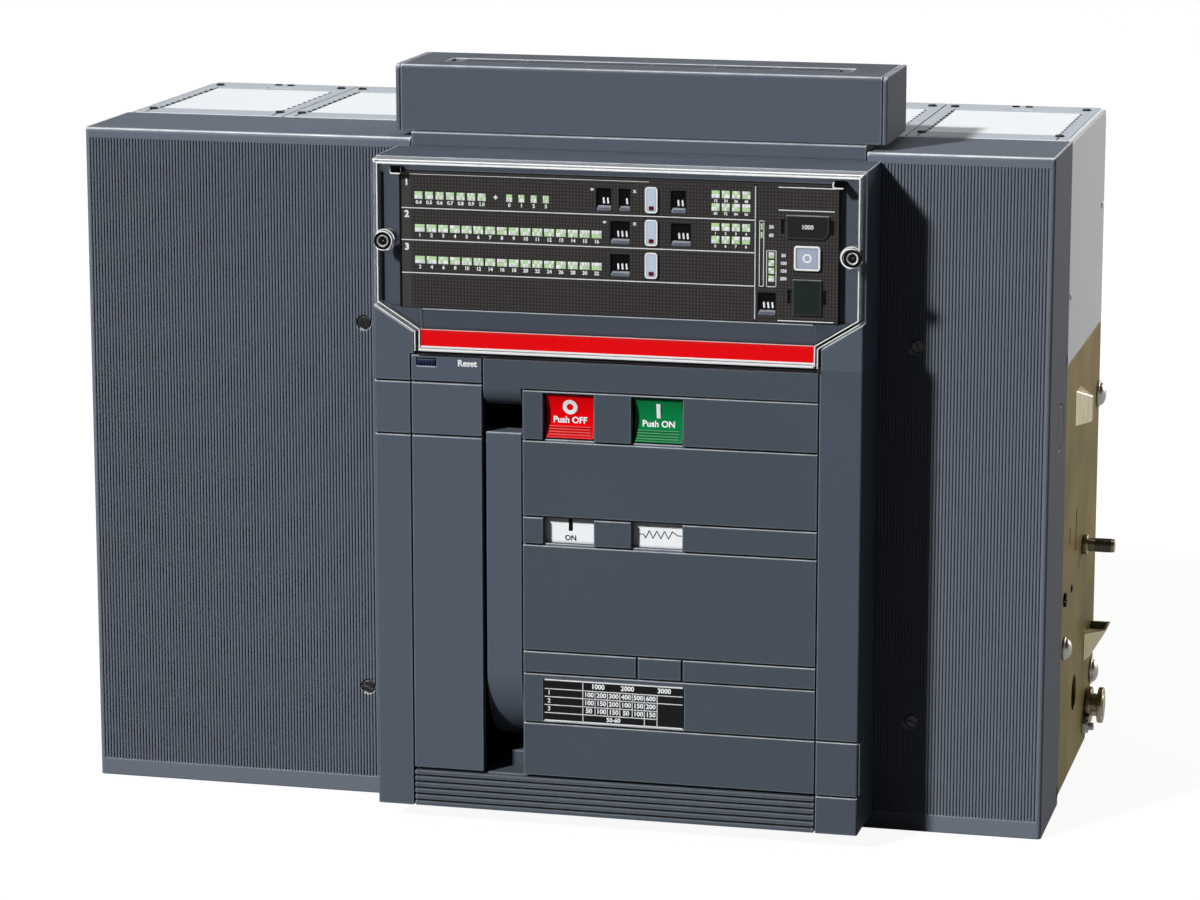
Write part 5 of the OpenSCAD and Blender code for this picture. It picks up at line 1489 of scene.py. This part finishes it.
class BREAKER_OT_stage(bpy.types.Operator):
    """Set the floor, lights, world and camera"""

    bl_idname = "breaker.stage"
    bl_label = "Set studio"

    LIGHT_FROM = Vector((-0.455, -0.678, 0.579))
    FLOOR_HALF = 14.0
    # White walls end and turn dark towards the ceiling, as sines of the angle up
    WALL_TOP = 0.16
    WALL_FADE = 0.12

    def execute(self, context):
        studio = context.scene.breaker_studio
        context.scene.view_settings.view_transform = "Standard"
        self.add_floor()
        self.add_world(context.scene, studio)
        self.add_lights(studio)
        self.add_camera(context.scene, studio)
        return {"FINISHED"}

    def add_floor(self):
        """White floor that keeps the shadow."""
        bm = bmesh.new()
        half = self.FLOOR_HALF
        corners = ((-half, -half, 0), (half, -half, 0), (half, half, 0), (-half, half, 0))
        bm.faces.new([bm.verts.new(corner) for corner in corners])
        mesh = bpy.data.meshes.new("floor")
        bm.to_mesh(mesh)
        bm.free()
        floor = bpy.data.objects.new("floor", mesh)
        bpy.context.scene.collection.objects.link(floor)
        material, tree, shader = new_material("floor_white")
        shader.inputs["Base Color"].default_value = (0.1, 0.1, 0.1, 1)
        shader.inputs["Roughness"].default_value = 1.0
        shader.inputs["Specular IOR Level"].default_value = 0.0
        shader.inputs["Emission Color"].default_value = (1, 1, 1, 1)
        feed(tree, shader.inputs["Emission Strength"], self.shown(tree, 0.93, 0.5))
        mesh.materials.append(material)

    def shown(self, tree, seen, mirrored):
        """Strength of the background where it is seen, and where gloss or glass shows it."""
        path = add(tree, "ShaderNodeLightPath").outputs
        through = calc(tree, "MAXIMUM", path["Is Glossy Ray"], path["Is Transmission Ray"])
        return calc(tree, "MAXIMUM", calc(tree, "MULTIPLY", path["Is Camera Ray"], seen),
                    calc(tree, "MULTIPLY", through, mirrored))

    def add_world(self, scene, studio):
        """White walls under a dark ceiling, with a little fill."""
        world = bpy.data.worlds.new("studio")
        scene.world = world
        world.use_nodes = True
        tree = world.node_tree
        back = tree.nodes["Background"]
        back.inputs["Color"].default_value = (1, 1, 1, 1)
        height = add(tree, "ShaderNodeSeparateXYZ")
        feed(tree, height.inputs[0], add(tree, "ShaderNodeTexCoord").outputs["Generated"])
        wall = calc(tree, "MULTIPLY_ADD", height.outputs["Z"], -1 / self.WALL_FADE,
                    self.WALL_TOP / self.WALL_FADE, clamp=True)
        feed(tree, back.inputs["Strength"], calc(tree, "MAXIMUM", self.shown(tree, 1.0, wall), studio.fill))

    def add_lights(self, studio):
        """Key light, soft box above and soft box at the right."""
        key = bpy.data.lights.new("key", "SUN")
        key.energy = studio.key
        key.angle = math.radians(5)
        self.aim("key", key, self.LIGHT_FROM * 3, Vector((0, 0, 0.2)))
        top = bpy.data.lights.new("top", "AREA")
        top.size = 0.7
        top.energy = studio.top
        self.aim("top", top, Vector((0, 0.35, 2.4)), Vector((0, 0, 0.3)))
        side = bpy.data.lights.new("side", "AREA")
        side.size = 1.2
        side.energy = studio.side
        side.color = (1.0, 0.92, 0.85)
        self.aim("side", side, Vector((2.0, 2.2, 1.0)), Vector((0.28, 0, 0.2)))

    def aim(self, name, light, place, target):
        """Hang a lamp at a place, turned to a target."""
        lamp = bpy.data.objects.new(name, light)
        lamp.location = place
        lamp.rotation_euler = (target - place).to_track_quat("-Z", "Y").to_euler()
        bpy.context.scene.collection.objects.link(lamp)

    def add_camera(self, scene, studio):
        """Camera at the viewing angle of the studio settings."""
        data = bpy.data.cameras.new("camera")
        data.sensor_width = 36
        data.lens = studio.lens
        data.clip_start = 0.05
        data.clip_end = 60
        camera = bpy.data.objects.new("camera", data)
        camera.location = studio.place
        camera.rotation_euler = (math.pi / 2 - studio.pitch, 0, studio.yaw)
        scene.collection.objects.link(camera)
        scene.camera = camera


STEPS = (BREAKER_OT_mouldings, BREAKER_OT_metalwork, BREAKER_OT_pole_case, BREAKER_OT_arc_chutes,
         BREAKER_OT_cover_screws, BREAKER_OT_plate_bolts, BREAKER_OT_rear_fittings, BREAKER_OT_relay,
         BREAKER_OT_relay_print, BREAKER_OT_relay_switches, BREAKER_OT_relay_lamps,
         BREAKER_OT_captive_screws, BREAKER_OT_strip, BREAKER_OT_keys, BREAKER_OT_flags,
         BREAKER_OT_rating_plate, BREAKER_OT_box_strip, BREAKER_OT_stage)


class BREAKER_PT_panel(bpy.types.Panel):
    """Sidebar panel that lists the steps and their settings"""

    bl_idname = "BREAKER_PT_panel"
    bl_label = "Air circuit breaker"
    bl_space_type = "VIEW_3D"
    bl_region_type = "UI"
    bl_category = "Breaker"

    def draw(self, context):
        for step in STEPS:
            self.layout.operator(step.bl_idname)
        scene = context.scene
        for group in (scene.breaker_colours, scene.breaker_sizes, scene.breaker_studio):
            for name in group.__annotations__:
                self.layout.prop(group, name)


GROUPS = {"breaker_colours": BreakerColours, "breaker_sizes": BreakerSizes, "breaker_studio": BreakerStudio}


def register():
    """Register the property groups, operators and panel."""
    for name, group in GROUPS.items():
        bpy.utils.register_class(group)
        setattr(bpy.types.Scene, name, PointerProperty(type=group))
    for item in (*STEPS, BREAKER_PT_panel):
        bpy.utils.register_class(item)


def unregister():
    """Undo register."""
    for item in (BREAKER_PT_panel, *reversed(STEPS)):
        bpy.utils.unregister_class(item)
    for name, group in reversed(GROUPS.items()):
        delattr(bpy.types.Scene, name)
        bpy.utils.unregister_class(group)


def main():
    """Build the pieces in order."""
    register()
    bpy.ops.breaker.mouldings()
    bpy.ops.breaker.metalwork()
    bpy.ops.breaker.pole_case()
    bpy.ops.breaker.arc_chutes()
    bpy.ops.breaker.cover_screws()
    bpy.ops.breaker.plate_bolts()
    bpy.ops.breaker.rear_fittings()
    bpy.ops.breaker.relay()
    bpy.ops.breaker.relay_print()
    bpy.ops.breaker.relay_switches()
    bpy.ops.breaker.relay_lamps()
    bpy.ops.breaker.captive_screws()
    bpy.ops.breaker.strip()
    bpy.ops.breaker.keys()
    bpy.ops.breaker.flags()
    bpy.ops.breaker.rating_plate()
    bpy.ops.breaker.box_strip()
    bpy.ops.breaker.stage()


if __name__ == "__main__":
    main()
